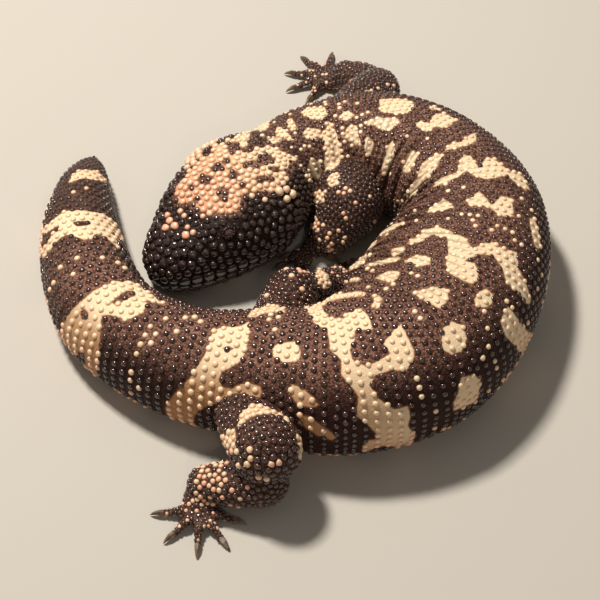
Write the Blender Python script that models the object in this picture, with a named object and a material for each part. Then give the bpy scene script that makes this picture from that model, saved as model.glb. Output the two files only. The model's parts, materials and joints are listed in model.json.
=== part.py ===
"""A gila monster, life size, curled to its left with its chin, belly and tail on the floor.

The body is one smooth form: a spine in plan, and a table of girths along it, from the tail's tip to the
snout. Planes across the spine part that form into tail, body, neck and head. Each limb is an upper part, a
lower part and a foot with its toes, cut to meet what it grows from, and each toe carries a claw.
Sizes are in millimetres, distances along the spine start at the tail's tip, and +Z is up.
"""

import functools
import math

import bmesh
import bpy
import numpy as np

METRES = 0.001
GAP = 0.3  # between pieces that touch
WELD = 1e-7  # metres, between points that a Boolean leaves in one place
SHADE_ANGLE = math.radians(50)

# The spine seen from above, from the tail's tip to the snout: x, y.
SPINE = [
    (-81, 82), (-83, 55), (-80.5, 26), (-68, -6.5), (-42, -25.5), (-14, -32), (14, -35), (40, -25),
    (59, 3), (63.5, 38), (48, 64), (22, 75), (0, 70.5), (-15, 57), (-34, 37.3), (-53.3, 18.7),
]

# Girths: distance along the spine, half width, height of the back, of the belly and of the widest part,
# and how square the back and the belly are, 1 for an ellipse and less for squarer.
# A belly below zero is pressed flat on the floor.
GIRTHS = [
    (0, 1.8, 5, 1.2, 3, 1, 1), (6, 5.5, 10.5, 0.4, 5.5, 1, 0.9), (16, 9.3, 17, -0.4, 8.5, 1, 0.8),
    (28, 12, 22, -0.8, 10.5, 1, 0.75), (42, 14.5, 26, -1, 12.5, 1, 0.72), (74, 17.5, 32, -1, 15, 1, 0.72),
    (110, 19, 35.5, -1.2, 16.5, 1, 0.72), (139, 21.5, 37, -1.5, 17.5, 1, 0.72),
    (168, 26.5, 42, -2, 20, 1, 0.75), (196, 29.5, 47, -2, 22, 1, 0.75), (246, 29, 47.5, -2, 22, 1, 0.75),
    (281, 27, 45, -2, 21, 1, 0.75), (312, 24, 42, -2, 20, 1, 0.75), (340, 21.5, 39, -1.5, 19, 0.95, 0.72),
    (360, 17.5, 35.5, -1, 18, 0.9, 0.7), (372, 17.5, 34.5, -1, 17, 0.85, 0.7),
    (382, 21.5, 34.5, -1, 15.5, 0.8, 0.68), (394, 25, 34.5, -1, 14.5, 0.78, 0.66),
    (406, 24, 33, -1, 13.5, 0.78, 0.64),
    (417, 20.3, 29.5, -1, 12.5, 0.78, 0.62), (427, 15.5, 24.5, -0.8, 11.5, 0.8, 0.62),
    (434, 11, 20.5, 0, 11, 0.85, 0.7), (438.5, 6.4, 16.5, 2.5, 10.5, 0.9, 0.8),
]
# Loose skin that the bend pushes out on the left: distance along the spine, how far. It hangs over the floor,
# full above one share of the turn down to the belly and gone below another.
LOOSE_SKIN = [
    (170, 0), (190, 2.5), (205, 8.5), (215, 10.5), (228, 11), (245, 10), (258, 8.5), (270, 6), (284, 2.5),
    (300, 0), (335, 0), (352, 2.5), (364, 4.5), (372, 4.5), (379, 2), (388, 0),
]
LOOSE_FULL = -0.25
LOOSE_GONE = -0.75
CELL = 6.5  # size of one face of the body, a scute or the bare skin between two
HEAD_CELL = 5.4
SNOUT_BULGE = 1.6
TAIL_BULGE = 1.0

# The nodes along the spine: name, where it starts, where it ends, its material.
LENGTHS = [
    ("tail_tip", 0, 46, "tail_skin"), ("tail_middle", 46, 88, "tail_skin"),
    ("tail_base", 88, 130, "tail_skin"), ("hips", 130, 174, "body_skin"),
    ("belly_rear", 174, 214, "body_skin"), ("belly_front", 214, 256, "body_skin"),
    ("chest", 256, 300, "body_skin"), ("shoulders", 300, 346, "body_skin"),
    ("neck", 346, 374, "body_skin"), ("head", 374, 438.5, "head_skin"),
]

# The mouth: distance along the spine and height of the line between the lips, from its corner forward.
MOUTH = [(392, 14.5), (400, 13.2), (410, 11.8), (420, 10.6), (430, 9.6), (446, 8.6)]
MOUTH_OPENING = 0.4

# The eyes: distance along the spine, how far round from level towards the crown, size, and the lids' rim.
EYE_AT = 415.0
EYE_TURN = math.radians(50)
EYE_RADIUS = 2.6
EYE_DEPTH = 1.5  # of the ball's centre under the skin
LID_WIDTH = 3.4
LID_HEIGHT = 2.5
LID_THICKNESS = 0.9

# Nostrils and ears: distance along the spine, turn from level towards the crown, and the hollow's half sizes
# across, along the head and inwards.
NOSTRIL = (431.5, math.radians(53), 1.0, 1.5, 2.2)
EAR = (387.5, math.radians(24), 3.4, 1.1, 1.6)

# Limbs from the body outwards: x, y, z, half width, half height, in rows.
LIMBS = {
    "hind_right": {
        "upper": [(-21, -38, 18, 10.5, 10.5), (-17, -54, 20.5, 11.5, 11), (-11.5, -68, 24, 12.5, 12.5)],
        "lower": [(-12.5, -73.5, 13, 9.5, 9.3), (-22, -72.8, 10.5, 8.7, 8.3), (-32.5, -71.5, 8, 6.8, 6.3)],
        "foot": [(-33, -71, 5.6, 5.5, 5), (-34, -75.5, 4.2, 6.5, 4.5), (-34, -79.5, 3, 6.5, 3.3)],
        "toes": [(-45.5, -79.5), (-42, -87), (-34.5, -91), (-27, -89), (-23.5, -82)],
    },
    "hind_left": {
        "upper": [(-11, -16, 17, 10.5, 10.5), (-6, -4, 16, 10, 10), (-3, 6.5, 14, 9.5, 9.5)],
        "lower": [(-2.5, 8.5, 11.5, 8, 8), (2, 11.5, 9, 7.2, 7.2), (6.5, 13.5, 7, 6, 6)],
        "foot": [(5.5, 14, 5.4, 5.2, 5), (8, 18, 4.8, 5.8, 4.6), (10, 23, 3.4, 5.6, 3.5)],
        "toes": [(17, 29.5), (19.5, 26), (20.5, 21.5), (18.5, 17), (13.5, 14.5)],
    },
    "fore_left": {
        "upper": [(18.5, 61, 17, 13, 12.5), (18, 46.5, 17, 13.5, 12.5), (13, 37.5, 11.5, 8.8, 8.3)],
        "lower": [(13, 38, 10.5, 7.4, 7.2), (10.5, 39.8, 8.8, 6.9, 6.6), (8.3, 41, 7, 6, 5.8)],
        "foot": [(8.5, 41, 5, 5, 4.6), (6.5, 38.5, 4, 5.2, 4.1), (4.6, 36, 2.8, 5.2, 3)],
        "toes": [(-2.5, 34.5), (-5.5, 30.5), (-2.5, 26.5), (2.3, 26.8), (9.8, 33.8)],
    },
    "fore_right": {
        "upper": [(18, 84, 19, 12, 12), (25, 98, 17.5, 10.5, 11), (30.5, 108, 14.5, 9.5, 9.5)],
        "lower": [(30, 110, 12, 8.5, 8.5), (25.5, 118, 10, 7.4, 7.4), (18.5, 124, 7.5, 6, 6)],
        "foot": [(18.5, 124, 5, 5, 4.6), (14.5, 126, 4, 6.3, 4.2), (10.5, 127.5, 2.8, 6.3, 3)],
        "toes": [(5, 118), (-0.5, 123), (-1, 130), (3.5, 136.5), (12.5, 138)],
    },
}
LIMB_SIDES = 12
FOOT_SIDES = 10
TOE_SIDES = 5
TOE_RADIUS = (2.6, 1.9)  # at its root and at its end
TOE_ARCH = 1.8
CLAW_SIDES = 5
CLAW_LENGTH = 5.0
CLAW_RADIUS = 1.25

# Scutes: beads and plates raised on the skin in staggered rows, one on every other face of the form.
# These are shares of the shortest edge of the face that a scute stands on.
SCUTE_MARGIN = 0.08  # bare skin on each side
SCUTE_SLOPE = 0.19  # its sloping edge, in plan
SCUTE_HEIGHT = 0.14  # its shoulder
SCUTE_CROWN = 0.06  # its middle, above the shoulder
SCUTE_VARIATION = 0.2
SCUTE_SEED = 11
SCUTE_LEAST = 1.9  # the smallest face that takes one
SCUTE_LOWEST = 4.0  # height above the floor
SCUTE_CLEAR = 2.4  # from a limb or another piece
LIP_PLATE = (5.0, 4.2, 0.7)  # long, tall and how far it stands out
LIP_SPACE = 5.8
LIP_ROOT = 0.9  # depth of the root

# Colour and roughness of each material.
FINISHES = {
    "body_skin": ((0.16, 0.10, 0.08), 0.5), "tail_skin": ((0.30, 0.20, 0.14), 0.5),
    "head_skin": ((0.35, 0.18, 0.13), 0.45), "jaw_skin": ((0.03, 0.02, 0.02), 0.35),
    "leg_skin": ((0.07, 0.05, 0.045), 0.5), "claw_horn": ((0.28, 0.22, 0.17), 0.4),
    "eye_black": ((0.01, 0.008, 0.008), 0.1),
}

# How a turn on the left side becomes the same turn on each side.
SIDES = {"left": lambda turn: turn, "right": lambda turn: math.pi - turn}


def along(table, at):
    """The columns of a table at distances given by its first column, on a smooth curve through its rows."""
    table = np.asarray(table, float)
    at = np.atleast_1d(np.asarray(at, float))
    x = table[:, 0]
    y = table[:, 1:]
    slope = np.gradient(y, x, axis=0)
    i = np.clip(np.searchsorted(x, at, side="right") - 1, 0, len(x) - 2)
    step = (x[i + 1] - x[i])[:, None]
    t = (at - x[i])[:, None] / step
    value = (1 + 2 * t) * (1 - t) ** 2 * y[i] + t**2 * (3 - 2 * t) * y[i + 1]
    return value + step * (t * (1 - t) ** 2 * slope[i] + t**2 * (t - 1) * slope[i + 1])


def measured(points):
    """Points with their distance along the line put first."""
    points = np.asarray(points, float)
    steps = np.linalg.norm(np.diff(points[:, :3], axis=0), axis=1)
    return np.column_stack([np.r_[0, np.cumsum(steps)], points])


def spine_table():
    """The spine, measured along its smooth curve and stretched to end at the last girth."""
    rough = measured(SPINE)
    fine = measured(along(rough, np.linspace(0, rough[-1, 0], 600)))
    fine[:, 0] *= GIRTHS[-1][0] / fine[-1, 0]
    return fine


SPINE_LINE = spine_table()
SPINE_LENGTH = GIRTHS[-1][0]


def spine_frame(distances):
    """Centre, forward and leftward direction of the spine in plan, running straight past its ends."""
    distances = np.atleast_1d(np.asarray(distances, float))
    inside = np.clip(distances, 0, SPINE_LENGTH)
    after = along(SPINE_LINE, np.minimum(inside + 1, SPINE_LENGTH))
    ahead = after - along(SPINE_LINE, np.maximum(inside - 1, 0))
    ahead /= np.linalg.norm(ahead, axis=1)[:, None]
    centre = along(SPINE_LINE, inside) + ahead * (distances - inside)[:, None]
    return centre, ahead, np.stack([-ahead[:, 1], ahead[:, 0]], 1)


def surface(distances, turns, grow=0.0):
    """Points on the body at each distance and turn, 0 for its left side, a quarter turn for its back."""
    distances = np.atleast_1d(np.asarray(distances, float))
    centre, _, left = spine_frame(distances)
    half, back, belly, wide, back_power, belly_power = along(GIRTHS, distances).T[:, :, None]
    out = np.cos(turns)
    up = np.sin(turns)
    power = np.where(up > 0, back_power, belly_power)
    out = np.sign(out) * np.abs(out) ** power
    up = np.sign(up) * np.abs(up) ** power
    loose = np.interp(distances, *np.array(LOOSE_SKIN).T)[:, None] * np.maximum(out, 0) ** 2.5
    under = np.clip((np.sin(turns) - LOOSE_GONE) / (LOOSE_FULL - LOOSE_GONE), 0, 1)
    across = (half + grow) * out + loose * under**2 * (3 - 2 * under)
    height = wide + np.where(up > 0, back - wide + grow, wide - belly + grow) * up
    points = np.empty(across.shape + (3,))
    points[..., :2] = centre[:, None, :] + left[:, None, :] * across[..., None]
    points[..., 2] = np.maximum(height, -grow)
    return points


def rings(distances, grow, sides):
    """Closed rings of points round the body at these distances."""
    return surface(distances, np.linspace(0, 2 * math.pi, sides, endpoint=False), grow)


def loft(sections, start_pole=None, end_pole=None):
    """Points and faces of a closed form through rings of equal count, each end flat or drawn to a pole."""
    count, sides = sections.shape[:2]
    points = sections.reshape(-1, 3).tolist()
    faces = []
    for i in range(count - 1):
        for j in range(sides):
            k = (j + 1) % sides
            faces.append((i * sides + j, i * sides + k, (i + 1) * sides + k, (i + 1) * sides + j))
    first = list(range(sides))
    last = [(count - 1) * sides + j for j in range(sides)]
    for ring, pole, turned in ((first, start_pole, True), (last, end_pole, False)):
        if pole is None:
            faces.append(tuple(ring[::-1] if turned else ring))
            continue
        points.append(list(pole))
        for j in range(sides):
            pair = (ring[j], ring[(j + 1) % sides])
            faces.append((len(points) - 1,) + (pair[::-1] if turned else pair))
    return points, faces


def add_object(name, form, finish=None):
    """An object from points and faces, with its own material, or a hidden helper where it has no finish."""
    points, faces = form
    mesh = bpy.data.meshes.new(name)
    mesh.from_pydata((np.asarray(points, float) * METRES).tolist(), [], faces)
    work = bmesh.new()
    work.from_mesh(mesh)
    bmesh.ops.recalc_face_normals(work, faces=work.faces)
    work.to_mesh(mesh)
    work.free()
    obj = bpy.data.objects.new(name, mesh)
    bpy.context.scene.collection.objects.link(obj)
    if finish is None:
        obj.hide_render = True
        obj.display_type = "WIRE"
        return obj
    material = bpy.data.materials.new(name)
    material.use_nodes = True
    shader = material.node_tree.nodes["Principled BSDF"]
    base, roughness = FINISHES[finish]
    shader.inputs["Base Color"].default_value = (*base, 1)
    shader.inputs["Roughness"].default_value = roughness
    mesh.materials.append(material)
    return obj


def apply_modifiers(obj):
    """Replaces the object's mesh with the one its modifiers make."""
    bpy.context.view_layer.update()
    graph = bpy.context.evaluated_depsgraph_get()
    old = obj.data
    obj.data = bpy.data.meshes.new_from_object(obj.evaluated_get(graph))
    obj.modifiers.clear()
    bpy.data.meshes.remove(old)


def remove(objects):
    for obj in objects:
        mesh = obj.data
        bpy.data.objects.remove(obj)
        bpy.data.meshes.remove(mesh)


def boxes_meet(one, other):
    """Whether the boxes round two objects overlap."""
    low, high = [], []
    for obj in (one, other):
        corners = np.array([vertex.co for vertex in obj.data.vertices])
        low.append(corners.min(axis=0))
        high.append(corners.max(axis=0))
    return bool(np.all(low[0] < high[1]) and np.all(low[1] < high[0]))


def boolean(obj, operation, others, solver="EXACT"):
    """Cuts the others from the object, or keeps what they share, one after another."""
    for other in others:
        modifier = obj.modifiers.new("boolean", "BOOLEAN")
        modifier.operation = operation
        modifier.object = other
        modifier.solver = solver
    apply_modifiers(obj)


def unite(obj, others, solver="EXACT"):
    """Joins the others to the object in one Boolean on a collection, and removes them."""
    group = bpy.data.collections.new("joined")
    bpy.context.scene.collection.children.link(group)
    for other in others:
        group.objects.link(other)
    modifier = obj.modifiers.new("union", "BOOLEAN")
    modifier.operation = "UNION"
    modifier.operand_type = "COLLECTION"
    modifier.collection = group
    modifier.solver = solver
    apply_modifiers(obj)
    remove(others)
    bpy.data.collections.remove(group)


def shell_volume(shell):
    """Space inside a closed surface of triangles, given as its vertices."""
    faces = {face for vertex in shell for face in vertex.link_faces}
    return sum(f.verts[0].co.dot(f.verts[1].co.cross(f.verts[2].co)) for f in faces) / 6


def keep_largest(obj):
    """Drops every closed surface of the object but the one that holds the most."""
    work = bmesh.new()
    work.from_mesh(obj.data)
    bmesh.ops.triangulate(work, faces=work.faces)
    bmesh.ops.remove_doubles(work, verts=work.verts, dist=WELD)
    left = set(work.verts)
    shells = []
    while left:
        shell = {left.pop()}
        front = list(shell)
        while front:
            for edge in front.pop().link_edges:
                for vertex in edge.verts:
                    if vertex in left:
                        left.discard(vertex)
                        shell.add(vertex)
                        front.append(vertex)
        shells.append(shell)
    kept = max(shells, key=shell_volume)
    bmesh.ops.delete(work, geom=[v for v in work.verts if v not in kept], context="VERTS")
    work.to_mesh(obj.data)
    work.free()


def body_grid(start, end, cell):
    """How many rings and sides give faces of about this size between two distances along the body."""
    half, back, belly, _ = along(GIRTHS, (start + end) / 2)[0, :4]
    round_it = math.pi * (half + (back - belly) / 2) * 1.03
    return max(3, round((end - start) / cell) + 1), 2 * round(round_it / cell / 2)


def body_form(start, end, cell, grow=0.0):
    """The body between two distances, with half the gap left at each joint, or grown past it for a cutter."""
    count, sides = body_grid(start, end, cell)
    form = rings(np.linspace(start, end, count), grow, sides)
    _, ahead, _ = spine_frame([start, end])
    poles = [None, None]
    inset = GAP / 2 if grow == 0 else -grow
    if start > 0:
        form[0, :, :2] += ahead[0] * inset
    else:
        poles[0] = form[0].mean(axis=0) - np.r_[ahead[0] * (TAIL_BULGE + grow), 0]
    if end < SPINE_LENGTH:
        form[-1, :, :2] -= ahead[1] * inset
    else:
        poles[1] = form[-1].mean(axis=0) + np.r_[ahead[1] * (SNOUT_BULGE + grow), 0]
    return loft(form, *poles)


def tube(rows, sides, grow=0.0, steps=5, rounded=(True, True)):
    """A limb's form along rows of x, y, z, half width and half height, its ends rounded or blunt."""
    rows = measured(rows)
    line = along(rows, np.linspace(0, rows[-1, 0], steps))
    ahead = np.gradient(line[:, :3], axis=0)
    if not rounded[1]:
        ahead[-1, 2] = 0  # a toe ends level, so that its claw sits square on it
    ahead /= np.linalg.norm(ahead, axis=1)[:, None]
    side = np.cross((0, 0, 1), ahead)
    side /= np.linalg.norm(side, axis=1)[:, None]
    up = np.cross(ahead, side)
    stations = [(line[i, :3], side[i], up[i], line[i, 3] + grow, line[i, 4] + grow) for i in range(steps)]
    for end, forward in ((0, -1), (-1, 1)):
        centre, across, upward, half, tall = stations[end]
        thick = min(half, tall)
        angles = (35, 65) if rounded[end] else (35,)
        for angle in angles:
            away = math.sin(math.radians(angle)) * (thick if rounded[end] else thick * 0.5)
            shrink = math.cos(math.radians(angle))
            extra = (centre + ahead[end] * forward * away, across, upward, half * shrink, tall * shrink)
            if end == 0:
                stations.insert(0, extra)
            else:
                stations.append(extra)
    turn = np.linspace(0, 2 * math.pi, sides, endpoint=False)
    form = np.array([
        c + np.outer(np.cos(turn) * h, a) + np.outer(np.sin(turn) * t, u) for c, a, u, h, t in stations
    ])
    poles = []
    for end, forward in ((0, -1), (-1, 1)):
        thick = min(line[end, 3], line[end, 4]) + grow
        poles.append(line[end, :3] + ahead[end] * forward * thick * 0.98 if rounded[end] else None)
    form[..., 2] = np.maximum(form[..., 2], -grow)
    return loft(form, *poles)


def surface_frame(distance, turn):
    """A point on the body, its outward direction, the direction along the body and the one round it."""
    point = surface(distance, np.array([turn]))[0, 0]
    ahead = surface(distance + 0.5, np.array([turn]))[0, 0]
    ahead -= surface(distance - 0.5, np.array([turn]))[0, 0]
    around = surface(distance, np.array([turn + 0.02]))[0, 0]
    around -= surface(distance, np.array([turn - 0.02]))[0, 0]
    ahead /= np.linalg.norm(ahead)
    outward = np.cross(ahead, around)
    outward /= -np.linalg.norm(outward)
    centre = spine_frame(distance)[0][0]
    if outward @ (point - np.array([centre[0], centre[1], 15.0])) < 0:
        outward = -outward
    return point, outward, ahead, np.cross(outward, ahead)


def ball(centre, axes, sizes, segments=12, rows=7):
    """An egg-shaped form about a centre, its half sizes taken along three axes."""
    points = [centre + axes[2] * sizes[2]]
    for i in range(1, rows):
        high = math.pi * i / rows
        for j in range(segments):
            turn = 2 * math.pi * j / segments
            flat = axes[0] * sizes[0] * math.cos(turn) + axes[1] * sizes[1] * math.sin(turn)
            points.append(centre + flat * math.sin(high) + axes[2] * sizes[2] * math.cos(high))
    points.append(centre - axes[2] * sizes[2])
    faces = []
    for j in range(segments):
        k = (j + 1) % segments
        faces.append((0, 1 + j, 1 + k))
        for i in range(rows - 2):
            a = 1 + i * segments
            b = a + segments
            faces.append((a + j, b + j, b + k, a + k))
        a = 1 + (rows - 2) * segments
        faces.append((a + j, len(points) - 1, a + k))
    return points, faces


def lid_rim(centre, ahead, around, outward, segments=12, sides=5):
    """A closed almond-shaped ring for the eyelids."""
    form = []
    for i in range(segments):
        turn = 2 * math.pi * i / segments
        middle = centre + ahead * LID_WIDTH * math.cos(turn) + around * LID_HEIGHT * math.sin(turn)
        away = ahead * math.cos(turn) + around * math.sin(turn)
        ring = []
        for j in range(sides):
            spin = 2 * math.pi * j / sides
            ring.append(middle + (away * math.cos(spin) + outward * math.sin(spin)) * LID_THICKNESS)
        form.append(ring)
    points = np.array(form).reshape(-1, 3)
    faces = []
    for i in range(segments):
        for j in range(sides):
            a = i * sides + j
            b = i * sides + (j + 1) % sides
            c = ((i + 1) % segments) * sides + (j + 1) % sides
            d = ((i + 1) % segments) * sides + j
            faces.append((a, b, c, d))
    return points, faces


def jaw_block(start, lift):
    """The space below the mouth's line from a distance along the spine forward."""
    at = np.linspace(start, MOUTH[-1][0], 10)
    centre, _, left = spine_frame(at)
    top = along(MOUTH, at)[:, 0] + lift
    form = np.zeros((len(at), 4, 3))
    for i, (way, upper) in enumerate(((1, False), (-1, False), (-1, True), (1, True))):
        form[:, i, :2] = centre + left * 45 * way
        form[:, i, 2] = top if upper else -5
    return loft(form)


def lip_plate(point, outward, ahead, random):
    """A low four-sided plate on a lip, its root sunk in the skin, its size varied a little at random."""
    around = np.cross(outward, ahead)
    long, tall, height = np.array(LIP_PLATE) * (1 + random.uniform(-0.5, 0.5, 3) * SCUTE_VARIATION)
    form = []
    for rise, part in ((-LIP_ROOT, 1.0), (height * 0.7, 0.72)):
        along_it = ahead * long / 2 * part
        up_it = around * tall / 2 * part
        corners = ((-1, -1), (1, -1), (1, 1), (-1, 1))
        form.append([point + along_it * i + up_it * j + outward * rise for i, j in corners])
    return loft(np.array(form), None, point + outward * height)


def raise_scutes(obj, sides, wanted, random, every=False):
    """Raises a scute on every other face of a form's rings, or on every one, where it is wanted."""
    work = bmesh.new()
    work.from_mesh(obj.data)
    work.faces.ensure_lookup_table()
    count = 0
    for face in list(work.faces):
        row, column = divmod(face.index, sides)
        if len(face.verts) != 4 or ((row + column) % 2 and not every):
            continue
        point = np.array(face.calc_center_median()) / METRES
        if not wanted(point, np.array(face.normal)):
            continue
        edge = min(edge.calc_length() for edge in face.edges)
        if edge < SCUTE_LEAST * METRES:
            continue
        margin, height, crown = edge * (1 + random.uniform(-1, 1, 3) * SCUTE_VARIATION)
        bmesh.ops.inset_individual(work, faces=[face], thickness=margin * SCUTE_MARGIN, depth=0)
        shoulder = height * SCUTE_HEIGHT
        bmesh.ops.inset_individual(work, faces=[face], thickness=edge * SCUTE_SLOPE, depth=shoulder)
        bmesh.ops.poke(work, faces=[face], offset=crown * SCUTE_CROWN)
        count += 1
    work.to_mesh(obj.data)
    work.free()
    print(obj.name, count, "scutes")


def limb_balls(leave_out=()):
    """Centres and radii of balls that fill the limbs, leaving out the named parts."""
    balls = []
    for limb, rows in LIMBS.items():
        for part in ("upper", "lower", "foot"):
            if f"{limb}_{part}" in leave_out:
                continue
            line = measured(rows[part])
            at = np.linspace(0, line[-1, 0], 9)
            balls += [(place[:3], max(place[3:5])) for place in along(line, at)]
    return balls


def clear_of_limbs(point, margin, leave_out=()):
    return all(np.linalg.norm(point - centre) > radius + margin for centre, radius in limb_balls(leave_out))


def clear_of_body(point, margin):
    """Whether a point lies outside the body by a margin."""
    distances = np.linspace(0, SPINE_LENGTH, 220)
    centre, _, left = spine_frame(distances)
    half, back, _, wide = along(GIRTHS, distances)[:, :4].T
    away = np.linalg.norm(point[:2] - centre, axis=1)
    rise = np.maximum(point[2] - wide, 0)
    return bool(np.all((away / (half + margin)) ** 2 + (rise / (back - wide + margin)) ** 2 > 1))


def body_wants(point, normal):
    """Whether a face of the body is high enough, and clear enough of the limbs, to carry a scute."""
    return point[2] > SCUTE_LOWEST and normal[2] > -0.35 and clear_of_limbs(point, SCUTE_CLEAR + CELL / 2)


def head_wants(point, normal):
    """Whether a face of the head can carry a scute, off the eyes, nostrils, ears and lips."""
    if not body_wants(point, normal):
        return False
    for turn_of in SIDES.values():
        for at, turn, room in (
            (EYE_AT, EYE_TURN, LID_WIDTH + LID_THICKNESS + 2.6),
            (NOSTRIL[0], NOSTRIL[1], 3.2),
            (EAR[0], EAR[1], 5.2),
        ):
            if np.linalg.norm(point - surface_frame(at, turn_of(turn))[0]) < room:
                return False
    _, start, _, _ = LENGTHS[-1]
    forward = start + np.linalg.norm(point[:2] - spine_frame(start)[0][0])
    return point[2] > along(MOUTH, forward)[0, 0] + LIP_PLATE[1] + 1.8


def lip_sites(lift):
    """Places for the plates of a lip, a set distance above or below the mouth's line, on both sides."""
    sites = []
    for way in (1, -1):
        for distance in np.arange(MOUTH[0][0] + 4.5, SPINE_LENGTH - 2.5, LIP_SPACE):
            level = along(MOUTH, distance)[0, 0] + lift
            turns = np.linspace(-0.9, 1.2, 300)
            if way < 0:
                turns = math.pi - turns
            heights = surface(distance, turns)[0, :, 2]
            point, outward, ahead, _ = surface_frame(distance, turns[np.argmin(abs(heights - level))])
            sites.append((point, outward, ahead))
    return sites


def add_head(random):
    """The head without its lower jaw, the jaw, the eyes and their sockets, the nostrils and the ears."""
    _, start, end, _ = LENGTHS[-1]
    form = body_form(start, end, HEAD_CELL)
    head = add_object("head", form, "head_skin")
    jaw = add_object("lower_jaw", form, "jaw_skin")
    below = add_object("below_mouth", jaw_block(MOUTH[0][0] + GAP, -MOUTH_OPENING / 2))
    boolean(jaw, "INTERSECT", [below])
    above = add_object("mouth_space", jaw_block(MOUTH[0][0], MOUTH_OPENING / 2))
    lids = []
    cutters = [above]
    for side, turn_of in SIDES.items():
        point, outward, ahead, around = surface_frame(EYE_AT, turn_of(EYE_TURN))
        lids.append(add_object(f"lid_{side}", lid_rim(point - outward * 0.2, ahead, around, outward)))
        centre = point - outward * EYE_DEPTH
        socket = ball(centre, (ahead, around, outward), (EYE_RADIUS + GAP,) * 3, 12, 8)
        cutters.append(add_object(f"socket_{side}", socket))
        eye = ball(centre, (ahead, around, outward), (EYE_RADIUS,) * 3, 12, 7)
        add_object(f"eye_{side}", eye, "eye_black")
        for name, (at, turn, tall, long, deep) in (("nostril", NOSTRIL), ("ear", EAR)):
            point, outward, ahead, around = surface_frame(at, turn_of(turn))
            hollow = ball(point, (ahead, around, outward), (long, tall, deep), 8, 4)
            cutters.append(add_object(f"{name}_{side}", hollow))
    raise_scutes(head, body_grid(start, end, HEAD_CELL)[1], head_wants, random, every=True)
    unite(head, lids)
    boolean(head, "DIFFERENCE", cutters)
    keep_largest(head)
    keep_largest(jaw)
    remove([below] + cutters)
    for lip, way in ((head, 1), (jaw, -1)):
        plates = []
        for point, outward, ahead in lip_sites(way * (LIP_PLATE[1] / 2 + 0.7)):
            plates.append(add_object("lip_plate", lip_plate(point, outward, ahead, random)))
        unite(lip, plates, "MANIFOLD")
        keep_largest(lip)


def toe_rows(root, tip):
    """Rows of a toe from inside the foot to its end."""
    root = np.array(root[:3], float)
    tip = np.array([tip[0], tip[1], TOE_RADIUS[1] - 0.2])
    middle = root * 0.45 + tip * 0.55
    middle[2] = TOE_RADIUS[0] + TOE_ARCH * 0.5
    root[2] = TOE_RADIUS[0] + 0.2
    radii = (TOE_RADIUS[0], (TOE_RADIUS[0] + TOE_RADIUS[1]) / 2, TOE_RADIUS[1])
    return [(*place, radius, radius) for place, radius in zip((root, middle, tip), radii)]


def claw_form(root, tip):
    """A claw that leaves the toe level and curves down to the floor."""
    way = np.array([tip[0] - root[0], tip[1] - root[1], 0.0])
    way /= np.linalg.norm(way)
    base = np.array([tip[0], tip[1], TOE_RADIUS[1] - 0.2]) + way * (TOE_RADIUS[1] * 0.29 + GAP)
    rows = []
    for part, rise, size in ((0, 0, 1), (0.4, 0.25, 0.78), (0.8, -0.4, 0.4)):
        place = base + way * CLAW_LENGTH * part
        place[2] += rise
        rows.append((*place, CLAW_RADIUS * size, CLAW_RADIUS * size))
    rows = np.array(rows)
    ahead = np.gradient(rows[:, :3], axis=0)
    ahead /= np.linalg.norm(ahead, axis=1)[:, None]
    ahead[0] = way
    side = np.cross((0, 0, 1), ahead)
    side /= np.linalg.norm(side, axis=1)[:, None]
    up = np.cross(ahead, side)
    turn = np.linspace(0, 2 * math.pi, CLAW_SIDES, endpoint=False)
    form = np.array([
        rows[i, :3] + rows[i, 3] * (np.outer(np.cos(turn), side[i]) + np.outer(np.sin(turn), up[i]))
        for i in range(len(rows))
    ])
    return loft(form, None, base + way * CLAW_LENGTH + np.array([0, 0, -1.3]))


def limb_wants(point, normal, own):
    """Whether a face of a limb's own part is in the open, high enough to carry a scute."""
    if point[2] < SCUTE_LOWEST or normal[2] < -0.35:
        return False
    return clear_of_body(point, 0.5) and clear_of_limbs(point, SCUTE_CLEAR + 1, (own,))


def add_limb(limb, rows, body_cutters, random):
    """The parts of a limb, each cut clear of the body and of the parts before it. Returns its own cutters."""
    before = list(body_cutters)
    for part, steps in (("upper", 5), ("lower", 4)):
        name = f"{limb}_{part}"
        obj = add_object(name, tube(rows[part], LIMB_SIDES, 0, steps), "leg_skin")
        raise_scutes(obj, LIMB_SIDES, functools.partial(limb_wants, own=name), random)
        boolean(obj, "DIFFERENCE", [cutter for cutter in before if boxes_meet(obj, cutter)])
        keep_largest(obj)
        before.append(add_object(f"{name}_clear", tube(rows[part], LIMB_SIDES, GAP, steps)))
    foot = add_object(f"{limb}_foot", tube(rows["foot"], FOOT_SIDES, 0, 4), "leg_skin")
    root = rows["foot"][-1]
    toes = []
    claws = []
    spaces = []
    for i, tip in enumerate(rows["toes"]):
        row = toe_rows(root, tip)
        toes.append(add_object(f"toe_{i}", tube(row, TOE_SIDES, 0, 3, (True, False))))
        spaces.append(add_object(f"toe_{i}_clear", tube(row, TOE_SIDES, GAP, 3, (True, False))))
        claws.append(add_object(f"{limb}_claw_{i + 1}", claw_form(root, tip), "claw_horn"))
    for i, claw in enumerate(claws):
        near = [space for j, space in enumerate(spaces) if j != i and boxes_meet(claw, space)]
        if near:
            boolean(claw, "DIFFERENCE", near)
            keep_largest(claw)
    remove(spaces)
    unite(foot, toes)
    boolean(foot, "DIFFERENCE", [cutter for cutter in before if boxes_meet(foot, cutter)])
    keep_largest(foot)
    return before[len(body_cutters):]


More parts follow.
